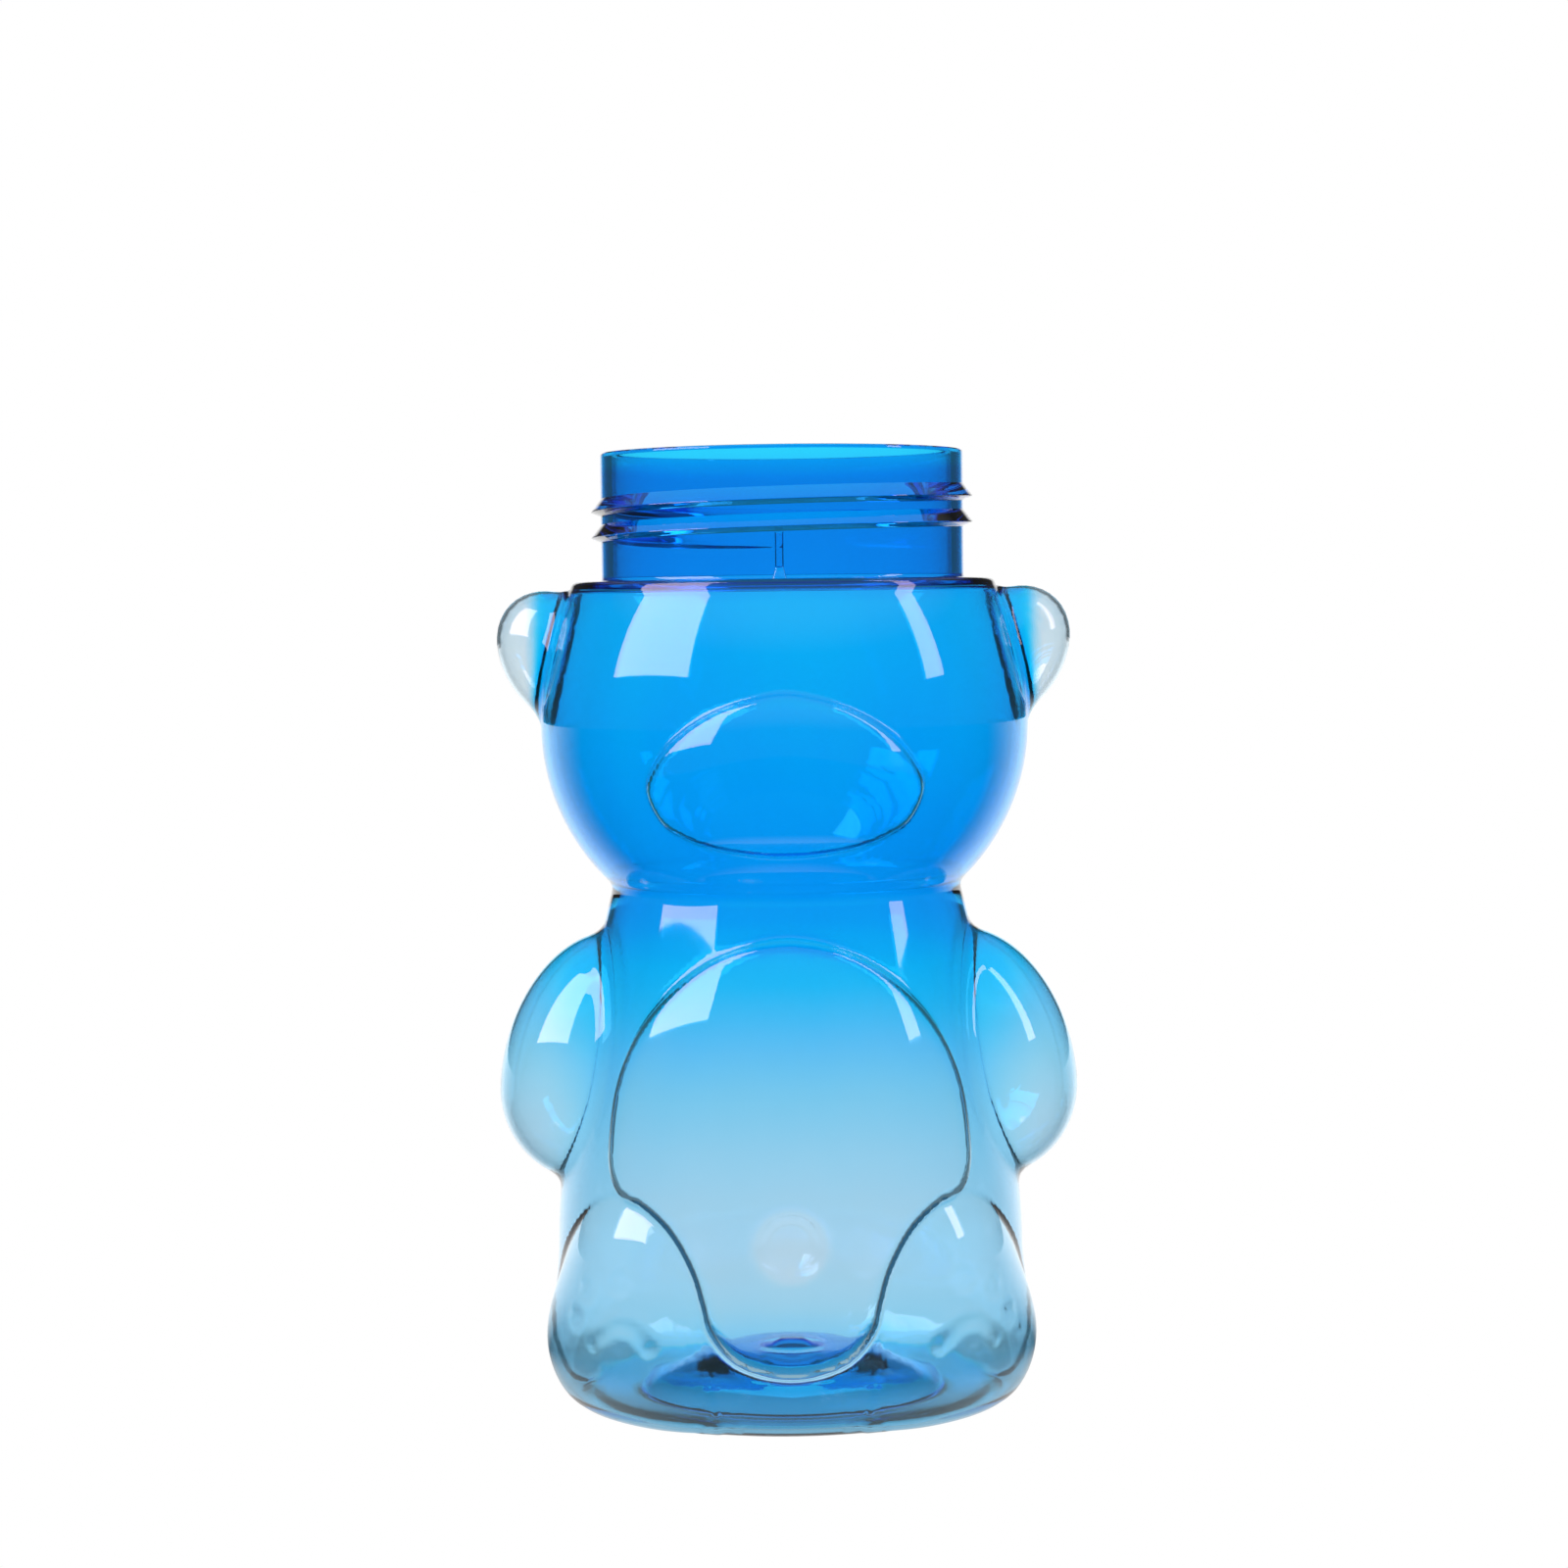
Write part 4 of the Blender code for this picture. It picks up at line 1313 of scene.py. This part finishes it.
@dataclass
class BearBottle:
    """The bottle: shell, thread and rib in one piece, and its finish.

    The wall's stretch is given over heights in millimetres, and a limb's at its foot and at its top, which are
    shares of its reach. The ears and arms count from where they leave the body. The base and its dome stay thick
    up to the heights where they fade.
    """

    shell: BottleShell = field(default_factory=BottleShell)
    finish: ClearBluePlastic = field(default_factory=ClearBluePlastic)
    crease_angle: float = 26.0
    wall_stretch: tuple[Pair, ...] = (
        (0.0, 0.45), (6.0, 0.64), (14.0, 0.76), (26.0, 0.77), (35.0, 0.71), (45.0, 0.6), (55.0, 0.45), (65.0, 0.25),
        (75.0, 0.1), (84.0, 0.05), (95.0, 0.07), (110.0, 0.1), (131.0, 0.14), (133.5, 0.03), (152.0, 0.0),
        (153.0, 0.14), (156.0, 0.14))
    belly_gain: float = 0.12
    belly_edge: Pair = (-0.5 * MM, 3.0 * MM)
    belly_fade: Pair = (80.0 * MM, 66.0 * MM)
    limb_stretch: dict[str, Pair] = field(default_factory=lambda: {
        "ear": (0.96, 0.93), "arm": (0.8, 0.42), "tail": (0.87, 0.87)})
    limb_edge: Pair = (1.0, 1.16)
    limb_reach: Pair = (0.7, 0.8)
    ear_side: Pair = (39.4 * MM, 42.4 * MM)
    arm_side: Pair = (35.0 * MM, 44.0 * MM)
    base_radius: float = 33.0 * MM
    base_fade: Pair = (1.0 * MM, 5.0 * MM)
    dome_radius: float = 26.0 * MM
    dome_fade: Pair = (9.5 * MM, 10.5 * MM)
    base_drop: float = 0.9

    def join(self, body: bpy.types.Object, part: bpy.types.Object) -> None:
        """Join a part to the body and remove the part.

        Args:
            body: Object that grows.
            part: Closed object that overlaps it.
        """
        modifier = body.modifiers.new("join", 'BOOLEAN')
        modifier.operation = 'UNION'
        modifier.solver = 'EXACT'
        modifier.object = part
        graph = bpy.context.evaluated_depsgraph_get()
        joined = bpy.data.meshes.new_from_object(body.evaluated_get(graph))
        body.modifiers.clear()
        spare = body.data
        body.data = joined
        bpy.data.meshes.remove(spare)
        bpy.data.objects.remove(part, do_unlink=True)

    def stretch(self, points: np.ndarray) -> np.ndarray:
        """Work out how far the wall is stretched at each point.

        Args:
            points: Rows of x, y and z.

        Returns:
            Values from 0, thick and deep blue, to 1, thin and pale.
        """
        x, y, z = points.T
        radius = radii(points)
        heights, levels = np.array(self.wall_stretch).T
        value = np.interp(z, heights * MM, levels)
        on_belly = ease(self.shell.belly.inside(round_wall(points), z), *self.belly_edge) * (y < 0.0)
        value = value + on_belly * self.belly_gain * ease(z, *self.belly_fade)
        for name, egg in self.shell.eggs.items():
            limb = name.split("_")[0]
            inside = 1.0 - ease(np.linalg.norm(egg.local(points, 0.0), axis=1), *self.limb_edge)
            if limb == "ear":
                inside = inside * ease(np.abs(x), *self.ear_side)
            if limb == "arm":
                inside = inside * ease(radius, *self.arm_side)
            low, high = self.limb_stretch[limb]
            foot, top = egg.centre[2] - egg.below * self.limb_reach[0], egg.centre[2] + egg.above * self.limb_reach[1]
            wanted = low + (high - low) * ease(z, foot, top)
            value = value + (wanted - value) * inside
        base = (1.0 - ease(z, *self.base_fade)) * (radius < self.base_radius)
        dome = (1.0 - ease(z, *self.dome_fade)) * (radius < self.dome_radius)
        return value * (1.0 - np.maximum(base, dome) * self.base_drop)

    def smooth(self, mesh: bpy.types.Mesh) -> None:
        """Shade the piece smooth, with creases only along the thread and the rib.

        Args:
            mesh: Mesh of the joined piece.
        """
        mesh.shade_smooth()
        mesh.set_sharp_from_angle(angle=math.radians(self.crease_angle))
        ends = np.empty(len(mesh.edges) * 2, dtype=np.int32)
        mesh.edges.foreach_get("vertices", ends)
        foot = self.shell.head.shoulder_height - self.shell.pressing.shoulder_margin
        on_neck = coordinates(mesh)[ends.reshape(-1, 2), 2].min(axis=1) > foot
        marks = np.empty(len(mesh.edges), dtype=bool)
        sharp = mesh.attributes["sharp_edge"]
        sharp.data.foreach_get("value", marks)
        sharp.data.foreach_set("value", marks & on_neck)
        mesh.update()

    def build(self) -> bpy.types.Object:
        """Model the piece and dress it.

        Returns:
            The finished piece.
        """
        body = self.shell.build()
        LOG.info("shell: %d vertices", len(body.data.vertices))
        self.join(body, NeckThread(self.shell.neck, self.shell.azimuths()).build())
        self.join(body, LocatingRib(self.shell.neck).build())
        mesh = body.data
        mesh.attributes.remove(mesh.attributes["number"])
        layer = mesh.attributes.new("stretch", 'FLOAT', 'POINT')
        layer.data.foreach_set("value", self.stretch(coordinates(mesh)).astype(np.float32))
        mesh.materials.clear()
        mesh.materials.append(self.finish.material())
        self.smooth(mesh)
        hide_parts("bottle")
        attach(body, "root")
        LOG.info("bottle: %d faces", len(mesh.polygons))
        return body


@dataclass(frozen=True)
class Softbox:
    """Upright softbox beside the camera.

    Its near edge and its far edge are each an azimuth in degrees, 0 at the camera and positive to the image's
    right, and a distance from the axis.
    """

    name: str
    near: Pair
    far: Pair
    bottom: float
    height: float
    radiance: float
    colour: Triple = (1.0, 0.70, 0.78)

    def build(self) -> bpy.types.Object:
        """Stand the softbox up, with its face towards the bottle.

        Returns:
            The light.
        """
        edges = [Vector((math.sin(math.radians(turn)) * reach, -math.cos(math.radians(turn)) * reach, 0.0))
                 for turn, reach in (self.near, self.far)]
        across = edges[1] - edges[0]
        middle = (edges[0] + edges[1]) / 2
        away = across.cross(Vector((0.0, 0.0, 1.0))).normalized()
        if away.dot(middle) < 0.0:
            away = -away
        data = bpy.data.lights.new(self.name, 'AREA')
        data.shape = 'RECTANGLE'
        data.size, data.size_y = across.length, self.height
        data.energy = self.radiance * math.pi * across.length * self.height
        data.color = self.colour
        light = bpy.data.objects.new(self.name, data)
        light.location = middle + Vector((0.0, 0.0, self.bottom + self.height / 2))
        light.rotation_euler = away.to_track_quat('Z', 'Y').to_euler()
        light.visible_camera = False
        bpy.context.scene.collection.objects.link(light)
        return light


@dataclass
class Studio:
    """White table, backdrop, two softboxes and the camera.

    The camera's reach is the nearest and the farthest that it sees, and its pitch and roll are in degrees. The
    backdrop's edge and the overhead glow's are spans of how far a direction points back or up.
    """

    camera_distance: float = 568.3 * MM
    camera_height: float = 130.0 * MM
    camera_offset: float = -0.2 * MM
    camera_reach: Pair = (0.01, 50.0)
    pitch_down: float = 2.97
    roll: float = -0.7
    lens: float = 79.2
    sensor: float = 36.0
    table_radius: float = 4.0
    table_drop: float = 0.02 * MM
    table_corners: int = 96
    softboxes: tuple[Softbox, ...] = (
        Softbox("softbox_left", near=(-46.0, 1.0), far=(-88.0, 1.35), bottom=0.40, height=1.7, radiance=6.0),
        Softbox("softbox_right", near=(70.5, 1.2), far=(81.5, 1.2), bottom=0.38, height=1.8, radiance=5.0))
    backdrop: float = 1.12
    backdrop_edge: Pair = (0.92, 0.97)
    seen_backdrop: float = 1.0
    surround: float = 0.05
    surround_through: float = 0.2
    overhead: float = 0.32
    overhead_edge: Pair = (0.36, 0.66)
    bounces: int = 24
    glossy_bounces: int = 8

    def table(self) -> bpy.types.Object:
        """Lay the table top.

        Returns:
            The table top.
        """
        form = bmesh.new()
        bmesh.ops.create_circle(form, cap_ends=True, segments=self.table_corners, radius=self.table_radius)
        bmesh.ops.translate(form, vec=(0.0, 0.0, -self.table_drop), verts=form.verts)
        bmesh.ops.recalc_face_normals(form, faces=form.faces)
        body = object_from("table", form)
        body.data.materials.append(WhiteTable().material())
        return body

    def surroundings(self) -> None:
        """Set a bright backdrop behind the bottle, a dim room round the camera and a faint glow overhead."""
        world = bpy.data.worlds.new("studio")
        bpy.context.scene.world = world
        tree = NodeTree(world)
        direction = tree.add("TexCoord", {}, "Generated")
        parts = tree.add("SeparateXYZ", {"Vector": direction}, "Y").node.outputs
        dim = tree.span(tree.ray("Is Transmission Ray"), (0.0, 1.0), (self.surround, self.surround_through), 'LINEAR')
        room = tree.span(parts["Y"], self.backdrop_edge, (dim, self.backdrop))
        ceiling = tree.span(parts["Z"], self.overhead_edge, (0.0, self.overhead))
        level = tree.seen(tree.math('MAXIMUM', room, ceiling), self.seen_backdrop)
        tree.feed(world.node_tree.nodes["Background"], {"Color": WHITE, "Strength": level})

    def camera(self) -> bpy.types.Object:
        """Stand the camera where the photograph was taken.

        Returns:
            The camera.
        """
        data = bpy.data.cameras.new("camera")
        data.lens = self.lens
        data.sensor_width = self.sensor
        data.clip_start, data.clip_end = self.camera_reach
        camera = bpy.data.objects.new("camera", data)
        place = Matrix.Translation((self.camera_offset, -self.camera_distance, self.camera_height))
        aim = Matrix.Rotation(math.radians(90.0 - self.pitch_down), 4, 'X')
        camera.matrix_world = place @ aim @ Matrix.Rotation(math.radians(self.roll), 4, 'Z')
        bpy.context.scene.collection.objects.link(camera)
        bpy.context.scene.camera = camera
        return camera

    def build(self) -> None:
        """Set up the studio."""
        self.camera()
        self.table()
        self.surroundings()
        for softbox in self.softboxes:
            softbox.build()
        settings = bpy.context.scene.cycles
        settings.max_bounces = settings.transmission_bounces = self.bounces
        settings.glossy_bounces = self.glossy_bounces
        bpy.context.scene.view_settings.view_transform = 'Standard'
        bpy.context.scene.view_settings.look = 'None'


def main() -> None:
    """Build the studio and the bottle."""
    logging.basicConfig(level=logging.INFO, format="%(message)s")
    Studio().build()
    body = BearBottle().build()
    LOG.info("piece %s is built", body.name)


if __name__ == "__main__":
    main()
